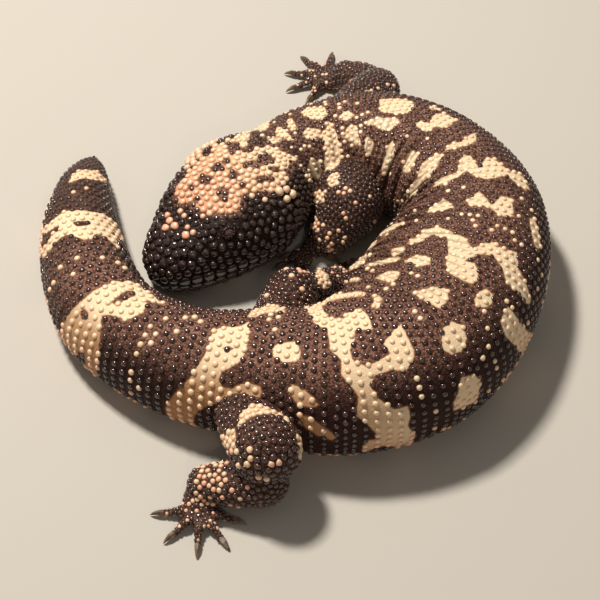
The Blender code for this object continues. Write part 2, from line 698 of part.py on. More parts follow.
def main():
    for obj in list(bpy.data.objects):
        bpy.data.objects.remove(obj)

    random = np.random.default_rng(SCUTE_SEED)
    body_cutters = []
    for name, start, end, finish in LENGTHS:
        cell = HEAD_CELL if name == "head" else CELL
        if name != "head":
            length = add_object(name, body_form(start, end, cell), finish)
            raise_scutes(length, body_grid(start, end, cell)[1], body_wants, random)
        body_cutters.append(add_object(f"{name}_clear", body_form(start, end, cell, GAP)))
    add_head(random)

    clear = list(body_cutters)
    for limb, rows in LIMBS.items():
        clear += add_limb(limb, rows, body_cutters, random)
    remove(clear)

    parts = [obj for obj in bpy.context.scene.collection.objects if obj.type == "MESH"]
    corners = np.array([vertex.co for obj in parts for vertex in obj.data.vertices])
    low = corners.min(axis=0)
    high = corners.max(axis=0)
    middle = (low + high) / 2
    for obj in parts:
        for vertex in obj.data.vertices:
            vertex.co.x -= middle[0]
            vertex.co.y -= middle[1]
            vertex.co.z -= low[2]
        obj.data.shade_smooth()
        obj.data.set_sharp_from_angle(angle=SHADE_ANGLE)
        triangles = sum(len(face.vertices) - 2 for face in obj.data.polygons)
        print(obj.name, triangles, "triangles")
    print("size", (high - low) / METRES, "moved by", middle[:2] / METRES, "floor", low[2] / METRES)


main()
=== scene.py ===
# %% [markdown]
# # A gila monster, curled up on the floor
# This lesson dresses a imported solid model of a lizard. The solids give its size, its place and its outline,
# and they stay as they are. Over them goes what the eye sees: one skin without a seam, thousands of bead
# scales that stand on it, eyelids, nostrils and lips, and finishes for hide, scales, horn and eyes.
# Lengths are in millimetres in the plan that the solids were drawn in, until a piece is made.

# %% The frame
import itertools
import json
import math

import bmesh
import bpy
import numpy as np
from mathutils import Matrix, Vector
from mathutils.bvhtree import BVHTree
from mathutils.kdtree import KDTree

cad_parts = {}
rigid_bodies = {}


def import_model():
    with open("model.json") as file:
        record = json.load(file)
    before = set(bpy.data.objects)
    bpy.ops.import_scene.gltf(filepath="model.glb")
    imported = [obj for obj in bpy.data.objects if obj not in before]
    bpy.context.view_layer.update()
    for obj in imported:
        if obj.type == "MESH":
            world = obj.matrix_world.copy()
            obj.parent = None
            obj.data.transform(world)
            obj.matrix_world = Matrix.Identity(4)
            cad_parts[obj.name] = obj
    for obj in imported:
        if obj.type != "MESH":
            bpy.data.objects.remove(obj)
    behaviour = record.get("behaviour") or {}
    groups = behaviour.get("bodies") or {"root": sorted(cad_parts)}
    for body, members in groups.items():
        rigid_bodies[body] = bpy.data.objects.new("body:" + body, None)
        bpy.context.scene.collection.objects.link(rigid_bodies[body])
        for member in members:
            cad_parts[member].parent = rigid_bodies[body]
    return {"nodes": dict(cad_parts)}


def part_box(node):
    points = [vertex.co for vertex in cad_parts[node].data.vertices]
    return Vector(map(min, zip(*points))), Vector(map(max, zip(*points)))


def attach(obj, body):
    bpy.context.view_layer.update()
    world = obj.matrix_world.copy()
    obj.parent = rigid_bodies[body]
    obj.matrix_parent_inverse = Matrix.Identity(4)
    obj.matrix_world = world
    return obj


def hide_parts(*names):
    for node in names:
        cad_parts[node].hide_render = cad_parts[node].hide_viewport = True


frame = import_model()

for name in ("Cube", "Camera", "Light"):
    if name in bpy.data.objects:
        bpy.data.objects.remove(bpy.data.objects[name])  # Blender's own startup objects

MM = 0.001
random = np.random.default_rng(21)
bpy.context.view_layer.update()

# %% [markdown]
# ## The body's plan
# A lizard's body is a tube of changing girth, so a line down its middle and a table of girths say all of it.
# It could be read back from the solids, but their faces are coarse. The same few driving numbers that made
# them give any point of the smooth form instead, and also say how far along and how far round it a point is,
# which the rows of scales and the markings need.

# %% Spine and girths
SPINE = [
    (-81, 82), (-83, 55), (-80.5, 26), (-68, -6.5), (-42, -25.5), (-14, -32), (14, -35), (40, -25),
    (59, 3), (63.5, 38), (48, 64), (22, 75), (0, 70.5), (-15, 57), (-34, 37.3), (-53.3, 18.7),
]
# Distance from the tail's tip, half width, height of the back, of the belly, of the widest part, squareness.
GIRTHS = [
    (0, 1.8, 5, 1.2, 3, 1, 1), (6, 5.5, 10.5, 0.4, 5.5, 1, 0.9), (16, 9.3, 17, -0.4, 8.5, 1, 0.8),
    (28, 12, 22, -0.8, 10.5, 1, 0.75), (42, 14.5, 26, -1, 12.5, 1, 0.72), (74, 17.5, 32, -1, 15, 1, 0.72),
    (110, 19, 35.5, -1.2, 16.5, 1, 0.72), (139, 21.5, 37, -1.5, 17.5, 1, 0.72),
    (168, 26.5, 42, -2, 20, 1, 0.75), (196, 29.5, 47, -2, 22, 1, 0.75), (246, 29, 47.5, -2, 22, 1, 0.75),
    (281, 27, 45, -2, 21, 1, 0.75), (312, 24, 42, -2, 20, 1, 0.75), (340, 21.5, 39, -1.5, 19, 0.95, 0.72),
    (360, 17.5, 35.5, -1, 18, 0.9, 0.7), (372, 17.5, 34.5, -1, 17, 0.85, 0.7),
    (382, 21.5, 34.5, -1, 15.5, 0.8, 0.68), (394, 25, 34.5, -1, 14.5, 0.78, 0.66),
    (406, 24, 33, -1, 13.5, 0.78, 0.64), (417, 20.3, 29.5, -1, 12.5, 0.78, 0.62),
    (427, 15.5, 24.5, -0.8, 11.5, 0.8, 0.62), (434, 11, 20.5, 0, 11, 0.85, 0.7),
    (438.5, 6.4, 16.5, 2.5, 10.5, 0.9, 0.8),
]
LENGTH = GIRTHS[-1][0]
# Loose skin that the bend pushes out on the left: distance, how far. It's full above one share of the turn
# down to the belly, and gone below another, so that it hangs over the floor.
LOOSE_SKIN = [
    (170, 0), (190, 2.5), (205, 8.5), (215, 10.5), (228, 11), (245, 10), (258, 8.5), (270, 6), (284, 2.5),
    (300, 0), (335, 0), (352, 2.5), (364, 4.5), (372, 4.5), (379, 2), (388, 0),
]
LOOSE_FULL = -0.25
LOOSE_GONE = -0.75


def full_turn(count):
    """Even steps once round, in radians."""
    return np.linspace(0, 2 * math.pi, count, endpoint=False)


def along(table, at):
    """Columns of a table at distances given by its first column, on a smooth curve through its rows."""
    table = np.asarray(table, float)
    at = np.atleast_1d(np.asarray(at, float))
    x, y = table[:, 0], table[:, 1:]
    slope = np.gradient(y, x, axis=0)
    i = np.clip(np.searchsorted(x, at, side="right") - 1, 0, len(x) - 2)
    step = (x[i + 1] - x[i])[:, None]
    t = (at - x[i])[:, None] / step
    value = (1 + 2 * t) * (1 - t) ** 2 * y[i] + t**2 * (3 - 2 * t) * y[i + 1]
    return value + step * (t * (1 - t) ** 2 * slope[i] + t**2 * (t - 1) * slope[i + 1])


def ease(value, start, end):
    """0 at start, 1 at end, with a smooth slope between."""
    t = np.clip((np.asarray(value, float) - start) / (end - start), 0, 1)
    return t * t * (3 - 2 * t)


def measured(points):
    """Points with their distance along the line put first."""
    points = np.asarray(points, float)
    steps = np.linalg.norm(np.diff(points[:, :3], axis=0), axis=1)
    return np.column_stack([np.r_[0, np.cumsum(steps)], points])


rough = measured(SPINE)
SPINE_LINE = measured(along(rough, np.linspace(0, rough[-1, 0], 600)))
SPINE_LINE[:, 0] *= LENGTH / SPINE_LINE[-1, 0]


def spine_frame(distances):
    """Centre, forward direction and leftward direction of the spine in plan."""
    distances = np.atleast_1d(np.asarray(distances, float))
    inside = np.clip(distances, 0, LENGTH)
    ahead = along(SPINE_LINE, np.minimum(inside + 1, LENGTH)) - along(SPINE_LINE, np.maximum(inside - 1, 0))
    ahead /= np.linalg.norm(ahead, axis=1)[:, None]
    centre = along(SPINE_LINE, inside) + ahead * (distances - inside)[:, None]
    return centre, ahead, np.stack([-ahead[:, 1], ahead[:, 0]], 1)


def surface(distances, turns, grow=0.0):
    """Points on the body, a row for each distance, a column for each turn. A quarter turn is the back."""
    distances = np.atleast_1d(np.asarray(distances, float))
    centre, _, left = spine_frame(distances)
    half, back, belly, wide, back_power, belly_power = along(GIRTHS, distances).T[:, :, None]
    turns = np.broadcast_to(turns, (len(distances), np.shape(turns)[-1]))
    power = np.where(np.sin(turns) > 0, back_power, belly_power)
    out = np.sign(np.cos(turns)) * np.abs(np.cos(turns)) ** power
    up = np.sign(np.sin(turns)) * np.abs(np.sin(turns)) ** power
    loose = np.interp(distances, *np.array(LOOSE_SKIN).T)[:, None] * np.maximum(out, 0) ** 2.5
    across = (half + grow) * out + loose * ease(np.sin(turns), LOOSE_GONE, LOOSE_FULL)
    height = wide + np.where(up > 0, back - wide + grow, wide - belly + grow) * up
    points = np.empty(across.shape + (3,))
    points[..., :2] = centre[:, None, :] + left[:, None, :] * across[..., None]
    points[..., 2] = np.maximum(height, -grow)
    return points


def surface_frame(distance, turn):
    """A point on the body, its outward direction, the direction along the body and the one round it."""
    point = surface(distance, [turn])[0, 0]
    ahead = surface(distance + 0.5, [turn])[0, 0] - surface(distance - 0.5, [turn])[0, 0]
    around = surface(distance, [turn + 0.02])[0, 0] - surface(distance, [turn - 0.02])[0, 0]
    ahead /= np.linalg.norm(ahead)
    outward = np.cross(ahead, around)
    outward /= np.linalg.norm(outward)
    centre = spine_frame(distance)[0][0]
    if outward @ (point - np.array([centre[0], centre[1], 15.0])) < 0:
        outward = -outward
    return point, outward, ahead, np.cross(outward, ahead)


print("spine", round(rough[-1, 0]), "mm")

# %% [markdown]
# ## From the plan to the frame
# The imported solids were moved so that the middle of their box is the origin. The two eyes are small round
# solids whose places the plan also gives, so the mean of both says how far everything moved.

# %% The move
EYE_AT = 415.0
EYE_TURN = math.radians(50)
EYE_RADIUS = 2.6
EYE_DEPTH = 1.5
SIDES = {"left": lambda turn: turn, "right": lambda turn: math.pi - turn}

eyes = {}
moves = []
for side, turn_of in SIDES.items():
    point, outward, ahead, around = surface_frame(EYE_AT, turn_of(EYE_TURN))
    eyes[side] = (point, outward, ahead, around)
    low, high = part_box(f"eye_{side}")
    moves.append(np.array((Vector(low) + Vector(high)) / 2) / MM - (point - outward * EYE_DEPTH))
MOVE = np.mean(moves, axis=0) * (1, 1, 0)
print("moved by", MOVE.round(2), "mm")

# %% [markdown]
# ## The limbs
# Each limb is an upper part, a lower part and a foot with five toes. A tube along a few rows of place and
# size is enough for each, because the skin that comes next melts all of them into the body.

# %% Limb rows
LIMBS = {
    "hind_right": {
        "upper": [(-21, -38, 18, 10.5, 10.5), (-17, -54, 20.5, 11.5, 11), (-11.5, -68, 24, 12.5, 12.5)],
        "lower": [(-12.5, -73.5, 13, 9.5, 9.3), (-22, -72.8, 10.5, 8.7, 8.3), (-32.5, -71.5, 8, 6.8, 6.3)],
        "foot": [(-33, -71, 5.6, 5.5, 5), (-34, -75.5, 4.2, 6.5, 4.5), (-34, -79.5, 3, 6.5, 3.3)],
        "toes": [(-45.5, -79.5), (-42, -87), (-34.5, -91), (-27, -89), (-23.5, -82)],
    },
    "hind_left": {
        "upper": [(-11, -16, 17, 10.5, 10.5), (-6, -4, 16, 10, 10), (-3, 6.5, 14, 9.5, 9.5)],
        "lower": [(-2.5, 8.5, 11.5, 8, 8), (2, 11.5, 9, 7.2, 7.2), (6.5, 13.5, 7, 6, 6)],
        "foot": [(5.5, 14, 5.4, 5.2, 5), (8, 18, 4.8, 5.8, 4.6), (10, 23, 3.4, 5.6, 3.5)],
        "toes": [(17, 29.5), (19.5, 26), (20.5, 21.5), (18.5, 17), (13.5, 14.5)],
    },
    "fore_left": {
        "upper": [(18.5, 61, 17, 13, 12.5), (18, 46.5, 17, 13.5, 12.5), (13, 37.5, 11.5, 8.8, 8.3)],
        "lower": [(13, 38, 10.5, 7.4, 7.2), (10.5, 39.8, 8.8, 6.9, 6.6), (8.3, 41, 7, 6, 5.8)],
        "foot": [(8.5, 41, 5, 5, 4.6), (6.5, 38.5, 4, 5.2, 4.1), (4.6, 36, 2.8, 5.2, 3)],
        "toes": [(-2.5, 34.5), (-5.5, 30.5), (-2.5, 26.5), (2.3, 26.8), (9.8, 33.8)],
    },
    "fore_right": {
        "upper": [(18, 84, 19, 12, 12), (25, 98, 17.5, 10.5, 11), (30.5, 108, 14.5, 9.5, 9.5)],
        "lower": [(30, 110, 12, 8.5, 8.5), (25.5, 118, 10, 7.4, 7.4), (18.5, 124, 7.5, 6, 6)],
        "foot": [(18.5, 124, 5, 5, 4.6), (14.5, 126, 4, 6.3, 4.2), (10.5, 127.5, 2.8, 6.3, 3)],
        "toes": [(5, 118), (-0.5, 123), (-1, 130), (3.5, 136.5), (12.5, 138)],
    },
}
TOE_RADIUS = (2.6, 1.9)  # at the foot and at the claw
# Share of the way along a toe, lift over the straight line, and radius. The third row is its joint.
TOE_JOINTS = [(0, 0, 2.6), (0.35, 0.9, 2.1), (0.58, 1.1, 2.35), (0.8, 0.5, 1.8), (1, 0, 1.75)]


def toe_rows(root, tip):
    """Rows of a toe from inside the foot to the root of its claw, a little thicker at its joint."""
    root = np.array(root[:3], float)
    way = np.array([tip[0] - root[0], tip[1] - root[1], 0.0])
    way /= np.linalg.norm(way)
    tip = np.array([tip[0], tip[1], TOE_RADIUS[1] - 0.2]) + way * 0.3
    rows = []
    for part, lift, radius in TOE_JOINTS:
        place = root * (1 - part) + tip * part
        place[2] = (TOE_RADIUS[0] + 0.2) * (1 - part) + tip[2] * part + lift
        rows.append((*place, radius, radius))
    return rows


limb_rows = {}
for limb, rows in LIMBS.items():
    for part in ("upper", "lower", "foot"):
        limb_rows[f"{limb}_{part}"] = rows[part]
    for i, tip in enumerate(rows["toes"]):
        limb_rows[f"{limb}_toe_{i + 1}"] = toe_rows(rows["foot"][-1], tip)
print(len(limb_rows), "tubes")

# %% [markdown]
# ## One skin
# A real hide has no seam between leg and body. Booleans would join the tubes with sharp creases. A voxel
# remesh is the better tool: it turns whatever is inside any of the closed tubes into one even grid of small
# faces, which is also just what the later modelling by moving points wants. A little smoothing then rounds
# the grooves where a limb leaves the body, as skin stretched over muscle does.

# %% Rings with rounded ends
SKIN_DEPTH = 0.9  # how far the skin lies inside the solids, to leave room for the beads
LIMB_DEPTH = 0.6
FLOOR_ROOM = 0.6  # how far the skin of a limb stays over the floor
CAP_ANGLES = (75, 55, 35, 17)  # in degrees, where the rings of a rounded end stand


def closed_loft(sections, start_pole, end_pole, first_point):
    """Points and faces of a closed form through rings of equal count, drawn to a pole at each end."""
    count, sides = sections.shape[:2]
    points = np.vstack([sections.reshape(-1, 3), start_pole, end_pole])
    faces = []
    for i in range(count - 1):
        for j in range(sides):
            k = (j + 1) % sides
            faces.append((i * sides + j, i * sides + k, (i + 1) * sides + k, (i + 1) * sides + j))
    start, end = count * sides, count * sides + 1
    last = (count - 1) * sides
    for j in range(sides):
        k = (j + 1) % sides
        faces.append((start, k, j))
        faces.append((end, last + j, last + k))
    return points, [tuple(corner + first_point for corner in face) for face in faces]


def tube_sections(rows, sides, steps, grow):
    """Rings of a limb with rounded ends, and its two end points."""
    rows = measured(rows)
    line = along(rows, np.linspace(0, rows[-1, 0], steps))
    ahead = np.gradient(line[:, :3], axis=0)
    ahead /= np.linalg.norm(ahead, axis=1)[:, None]
    side = np.cross((0, 0, 1), ahead)
    side /= np.linalg.norm(side, axis=1)[:, None]
    up = np.cross(ahead, side)
    caps = [(math.sin(math.radians(angle)), math.cos(math.radians(angle))) for angle in CAP_ANGLES]
    stations = [(0, -away, shrink) for away, shrink in caps]
    stations += [(i, 0, 1) for i in range(steps)]
    stations += [(steps - 1, away, shrink) for away, shrink in reversed(caps)]
    turn = full_turn(sides)
    sections = []
    for i, away, shrink in stations:
        half, tall = line[i, 3] + grow, line[i, 4] + grow
        ring = line[i, :3] + ahead[i] * away * min(half, tall)
        ring = ring + np.outer(np.cos(turn) * half * shrink, side[i])
        ring = ring + np.outer(np.sin(turn) * tall * shrink, up[i])
        sections.append(ring)
    ends = []
    for i, way in ((0, -1), (-1, 1)):
        round_end = min(line[i, 3], line[i, 4]) + grow
        ends.append(line[i, :3] + ahead[i] * way * round_end)
    sections = np.array(sections)
    sections[..., 2] = np.maximum(sections[..., 2], FLOOR_ROOM)
    return sections, ends


print(len(CAP_ANGLES), "rings round off each end")

# %% The trunk and the limbs as closed forms
TRUNK_RINGS = 330
TRUNK_SIDES = 96
TUBE_SIDES = 28
TUBE_STEPS = 16
SNOUT_REACH = 1.4  # how far the pole of the snout stands before the last ring

points, faces = [], []
total = 0
trunk = surface(np.linspace(0, LENGTH, TRUNK_RINGS), full_turn(TRUNK_SIDES), -SKIN_DEPTH)
_, ahead_ends, _ = spine_frame([0, LENGTH])
tail_pole = trunk[0].mean(axis=0) - np.r_[ahead_ends[0], 0]
snout_pole = trunk[-1].mean(axis=0) + np.r_[ahead_ends[1] * SNOUT_REACH, 0]
forms = [(trunk, [tail_pole, snout_pole])]
for rows in limb_rows.values():
    forms.append(tube_sections(rows, TUBE_SIDES, TUBE_STEPS, -LIMB_DEPTH))
for sections, ends in forms:
    more_points, more_faces = closed_loft(sections, *ends, total)
    points.append(more_points)
    faces += more_faces
    total += len(more_points)
points = np.vstack(points)
print(len(forms), "closed forms,", len(faces), "faces")

# %% Melted into one skin
VOXEL = 0.75


def linked(name, data):
    """A new object in the scene that holds this mesh, camera or lamp."""
    obj = bpy.data.objects.new(name, data)
    bpy.context.scene.collection.objects.link(obj)
    return obj


def with_modifiers(obj):
    """Replaces the object's mesh with the one that its modifiers make."""
    bpy.context.view_layer.update()
    graph = bpy.context.evaluated_depsgraph_get()
    old = obj.data
    obj.data = bpy.data.meshes.new_from_object(obj.evaluated_get(graph))
    obj.modifiers.clear()
    bpy.data.meshes.remove(old)


skin_mesh = bpy.data.meshes.new("hide")
skin_mesh.from_pydata(((points + MOVE) * MM).tolist(), [], faces)
skin = linked("hide", skin_mesh)
remesh = skin.modifiers.new("melt", "REMESH")
remesh.mode = "VOXEL"
remesh.voxel_size = VOXEL * MM
with_modifiers(skin)
print("skin", len(skin.data.vertices), "points")

# %% [markdown]
# ## Where a point is
# Scales, folds and colours all follow the body and not the room. So each point of the skin is told which
# tube it belongs to, how far along it, and how far round. On the trunk the nearest place of the spine in plan
# gives the distance, and undoing the formula of the girths gives the turn.

# %% On the trunk
STEP = 0.5
STATIONS = np.arange(0, LENGTH + STEP / 2, STEP)
STATION_CENTRES = spine_frame(STATIONS)[0]


def on_trunk(points):
    """Distance along the spine, turn, and height over the plain form, for each point."""
    distance, turn, rise = [], [], []
    for part in np.array_split(points, len(points) // 4000 + 1):
        away = ((part[:, None, :2] - STATION_CENTRES) ** 2).sum(axis=2)
        i = np.clip(np.argmin(away, axis=1), 1, len(STATIONS) - 2)
        row = np.arange(len(part))
        before, here, after = away[row, i - 1], away[row, i], away[row, i + 1]
        shift = np.clip((before - after) / np.maximum(before - 2 * here + after, 1e-9) / 2, -1, 1)
        at = np.clip(STATIONS[i] + shift * STEP, 0, LENGTH)
        half, back, belly, wide, back_power, belly_power = along(GIRTHS, at).T
        centre, _, left = spine_frame(at)
        across = ((part[:, :2] - centre) * left).sum(axis=1)
        over = np.linalg.norm(part[:, :2] - centre, axis=1)
        up = part[:, 2] - wide
        tall = np.where(up > 0, back - wide, wide - belly)
        under = ease(up / tall, LOOSE_GONE, LOOSE_FULL)
        half = half + np.interp(at, *np.array(LOOSE_SKIN).T) * (across > 0) * under
        power = np.where(up > 0, back_power, belly_power)
        side_part = (over / half) ** (1 / power)
        up_part = (np.abs(up) / tall) ** (1 / power)
        distance.append(at)
        turn.append(np.arctan2(np.sign(up) * up_part, np.sign(across) * side_part))
        reach = np.hypot(side_part, up_part) ** power
        rise.append((reach - 1) * np.minimum(half, tall))
    return np.concatenate(distance), np.concatenate(turn), np.concatenate(rise)


print(len(STATIONS), "stations along", LENGTH, "mm of spine")

# %% On a limb, and which of them
TUBE_STATIONS = 25
LIMB_REACH = 34  # no tube reaches further than this from its own middle
FAR_AWAY = 99.0


def on_tube(points, rows):
    """Share of the way along a limb's tube, turn round it, and height over it."""
    line = measured(rows)
    stations = along(line, np.linspace(0, line[-1, 0], TUBE_STATIONS))
    gap = points[:, None, :] - stations[None, :, :3]
    away = np.linalg.norm(gap, axis=2)
    radius = stations[:, 3:5].mean(axis=1)
    i = np.argmin(away - radius, axis=1)
    row = np.arange(len(points))
    ahead = np.gradient(stations[:, :3], axis=0)[i]
    ahead /= np.linalg.norm(ahead, axis=1)[:, None]
    side = np.cross((0, 0, 1), ahead)
    side /= np.maximum(np.linalg.norm(side, axis=1), 1e-6)[:, None]
    flat = gap[row, i]
    turn = np.arctan2(flat[:, 2], (flat * side).sum(axis=1))
    return i / (TUBE_STATIONS - 1), turn, away[row, i] - radius[i]


PARTS = ["trunk"] + list(limb_rows)


def place_of(points):
    """Which tube each point belongs to, its way along and its turn, and how near the next tube is."""
    distance, turn, rise = on_trunk(points)
    part = np.zeros(len(points), int)
    best = rise.copy()
    second = np.full(len(points), FAR_AWAY)
    for number, rows in enumerate(limb_rows.values(), start=1):
        centre = np.array(rows)[:, :3].mean(axis=0)
        near = np.flatnonzero(np.linalg.norm(points - centre, axis=1) < LIMB_REACH)
        if not len(near):
            continue
        way, spin, over = on_tube(points[near], rows)
        second[near] = np.minimum(second[near], np.maximum(best[near], over))
        closer = over < best[near]
        chosen = near[closer]
        part[chosen] = number
        distance[chosen] = way[closer]
        turn[chosen] = spin[closer]
        best[chosen] = over[closer]
    return part, distance, turn, best, second


print(len(PARTS), "tubes to choose from")

# %% Points in and out of a mesh, and the joins made soft
JOIN_WIDTH = 2.2
JOIN_FROM = -4  # height over the form from which a point counts as lying on the skin
EVEN = 0.6  # how much of the way to the mean of its neighbours a point goes in each round


def read(rows, name, width, kind=float):
    """One property of all the points or edges of a mesh, a row for each."""
    flat = np.empty(len(rows) * width, kind)
    rows.foreach_get(name, flat)
    return flat.reshape(-1, width)


def mesh_points(mesh):
    """Where the points of a mesh are, in plan millimetres."""
    return read(mesh.vertices, "co", 3) / MM - MOVE


def mesh_normals(mesh):
    """The outward direction at each point of a mesh."""
    return read(mesh.vertex_normals, "vector", 3)


def mesh_edges(mesh):
    """The two point numbers of each edge."""
    return read(mesh.edges, "vertices", 2, int)


def set_points(mesh, points):
    """Moves the points of a mesh."""
    mesh.vertices.foreach_set("co", ((points + MOVE) * MM).ravel())
    mesh.update()


def smoothed(values, edges, rounds, weight=1.0):
    """Values at the points, each drawn to the mean of its neighbours a number of times."""
    values = np.array(values, float)
    flat = values.reshape(len(values), -1)
    ends = np.r_[edges[:, 0], edges[:, 1]]
    others = np.r_[edges[:, 1], edges[:, 0]]
    count = np.maximum(np.bincount(ends, minlength=len(flat)), 1)
    weight = np.broadcast_to(weight, len(flat))
    for _ in range(rounds):
        for column in range(flat.shape[1]):
            mean = np.bincount(ends, flat[others, column], len(flat)) / count
            flat[:, column] += (mean - flat[:, column]) * weight * EVEN
    return values


place = mesh_points(skin.data)
part, distance, turn, rise, nearness = place_of(place)
joins = np.exp(-((nearness / JOIN_WIDTH) ** 2)) * (rise > JOIN_FROM)
place = smoothed(place, mesh_edges(skin.data), rounds=7, weight=0.2 + 0.8 * joins)
set_points(skin.data, place)
print("trunk points", int((part == 0).sum()), "limb points", int((part > 0).sum()))

# %% [markdown]
# ## Finer where it matters
# The voxels are too coarse for eyelids and nostrils. Halving every face of the head gives four times as many
# points there, and leaves the rest of the skin alone.

# %% A finer head
HEAD_FROM = 379.0
place = mesh_points(skin.data)
part, distance, turn, rise, nearness = place_of(place)
work = bmesh.new()
work.from_mesh(skin.data)
work.verts.ensure_lookup_table()
on_head = (part == 0) & (distance > HEAD_FROM)
fine = [edge for edge in work.edges if on_head[edge.verts[0].index] and on_head[edge.verts[1].index]]
bmesh.ops.subdivide_edges(work, edges=fine, cuts=1, use_grid_fill=True)
work.to_mesh(skin.data)
work.free()
place = mesh_points(skin.data)
edges = mesh_edges(skin.data)
part, distance, turn, rise, nearness = place_of(place)
on_head = (part == 0) & (distance > HEAD_FROM)
place = smoothed(place, edges, rounds=4, weight=on_head * 0.9)
set_points(skin.data, place)
print("skin", len(place), "points, on the head", int(on_head.sum()))

# %% [markdown]
# ## Folds of the hide
# The animal bends sharply to its left. The skin of that side has nowhere to go, so it stands in folds that
# run like the spokes of a wheel, and they fade out over the back. They could be painted as bump, but bump
# doesn't change how the rows of beads crowd together. Here each crease is a valley pressed into the points,
# its place a distance along the spine and its depth a matter of how far round the left side a point lies.

# %% Creases
FOLD_FROM, FOLD_TO, FOLD_STEP = 196.0, 345.0, 8.0
FOLD_STRAY = 1.3
FOLD_TOPS = (78, 118)  # how far up the back the creases run, in degrees
FOLD_DEPTH = 3.1
FOLD_WIDTH = 1.1
BEND_AT, BEND_REACH = 275, 55  # the creases are deepest here, and half as deep about that far away
CROWDED = (0.3, 0.55)  # every second fold is gone where the skin is crowded to the first of these shares
NECK_CREASES = [(344.5, 0.9, 1.2), (352.5, 1.1, 1.2), (360, 1.1, 1.2), (366.5, 1.1, 1.1), (373.5, 2.4, 1.6)]

bend = np.gradient(np.unwrap(np.arctan2(*spine_frame(STATIONS)[1].T[::-1])), STATIONS)
folds = []
for at in np.arange(FOLD_FROM, FOLD_TO, FOLD_STEP):
    at += random.uniform(-FOLD_STRAY, FOLD_STRAY)
    up_to = random.uniform(*FOLD_TOPS)
    middle = math.exp(-(((at - BEND_AT) / BEND_REACH) ** 2))
    folds.append((at, up_to, FOLD_DEPTH * random.uniform(0.7, 1) * (0.3 + 0.7 * middle)))


def creased(points, part, distance, turn):
    """How far the creases press points of the hide in, in millimetres."""
    centre, _, left = spine_frame(distance)
    across = ((points[:, :2] - centre) * left).sum(axis=1)
    crowding = np.clip(1 - np.interp(distance, STATIONS, bend) * across, 0.3, 2)
    degrees = np.degrees(turn)
    deep = np.zeros(len(points))
    for i, (at, up_to, depth) in enumerate(folds):
        wander = 2.2 * np.sin(turn * 2.3 + i * 1.7)
        offset = (distance - at - wander) * crowding
        strength = depth * ease(degrees, up_to, 10) * ease(degrees, -60, -25)
        if i % 2:
            strength = strength * ease(crowding, *CROWDED)
        width = FOLD_WIDTH * (0.5 + 0.5 * crowding)
        deep = np.maximum(deep, strength * np.exp(-((offset / width) ** 2)))
    for at, depth, width in NECK_CREASES:
        wander = 1.2 * np.sin(turn * 2 + at)
        sides = np.where(np.abs(degrees - 90) > 90, 1, 0.35 + 0.65 * ease(degrees, 100, 40))
        offset = (distance - at - wander) * crowding
        deep += depth * sides * np.exp(-((offset / width) ** 2))
    return np.where(part == 0, deep, 0) * ease(points[:, 2], 1.2, 5)


press = creased(place, part, distance, turn)
place = place - mesh_normals(skin.data) * press[:, None]
place = smoothed(place, edges, rounds=1, weight=(press > 0.03) * 0.4)
set_points(skin.data, place)
print("creases up to", round(press.max(), 2), "mm deep")

# %% [markdown]
# ## The head
# A gila monster's head is broad, flat on top and heavy at the cheeks, with a blunt snout, a low brow over a
# small eye, a slit of an ear behind the cheek and a long mouth with a thick lip. The large forms are soft
# swellings and hollows, each a bell of a few millimetres set on both sides. The mouth's line, nostrils, ears
# and eyelids are pressed in after them, because they are sharper.

# %% Swellings and hollows
HEAD_FORMS = [
    # distance, turn in degrees, reach, height
    (391, 14, 9, 1.3), (398, -22, 7, 0.7), (403, 40, 6, -0.6), (411, 60, 5, 0.8), (417, 62, 4, 0.6),
    (425, 30, 4.5, -0.8), (431, 58, 3.5, 0.5), (386, 60, 7, 0.6), (437, 30, 4, 0.5),
]
MOUTH = [(392, 14.5), (400, 13.2), (410, 11.8), (420, 10.6), (430, 9.6), (446, 8.6)]
MOUTH_FROM = (391, 395)  # its line begins between these
MOUTH_END = 438
LIP_LINE = 0.45  # half width of the mouth's line
LINE_DEPTH = 0.85
LIP_SWELL = 0.45
LIP_MIDDLE = 2.2  # from the mouth's line to the middle of each lip
CHIN_SINK = 0.35
NOSTRIL = (431.5, math.radians(53), 1.0, 1.5)  # distance, turn, half height, half length
EAR = (387.5, math.radians(24), 3.3, 1.0)
HOLES = ((NOSTRIL, 1.5, 0.35), (EAR, 1.5, 0.2))  # each with its depth and the height of its rim
HOLE_REACH = 5  # a hole doesn't change the hide further out or in than this
LID_OPEN = (2.2, 1.2)  # half length and half height of the opening between the lids
LID_THICK = 0.4


def from_hole(points, hole, turn_of):
    """How far points lie from a hole, as a share of its size, how far over it, and its outward direction."""
    at, turn_to, tall, long = hole
    middle, outward, ahead, around = surface_frame(at, turn_of(turn_to))
    offset = points - middle
    return np.hypot(offset @ ahead / long, offset @ around / tall), offset @ outward, outward


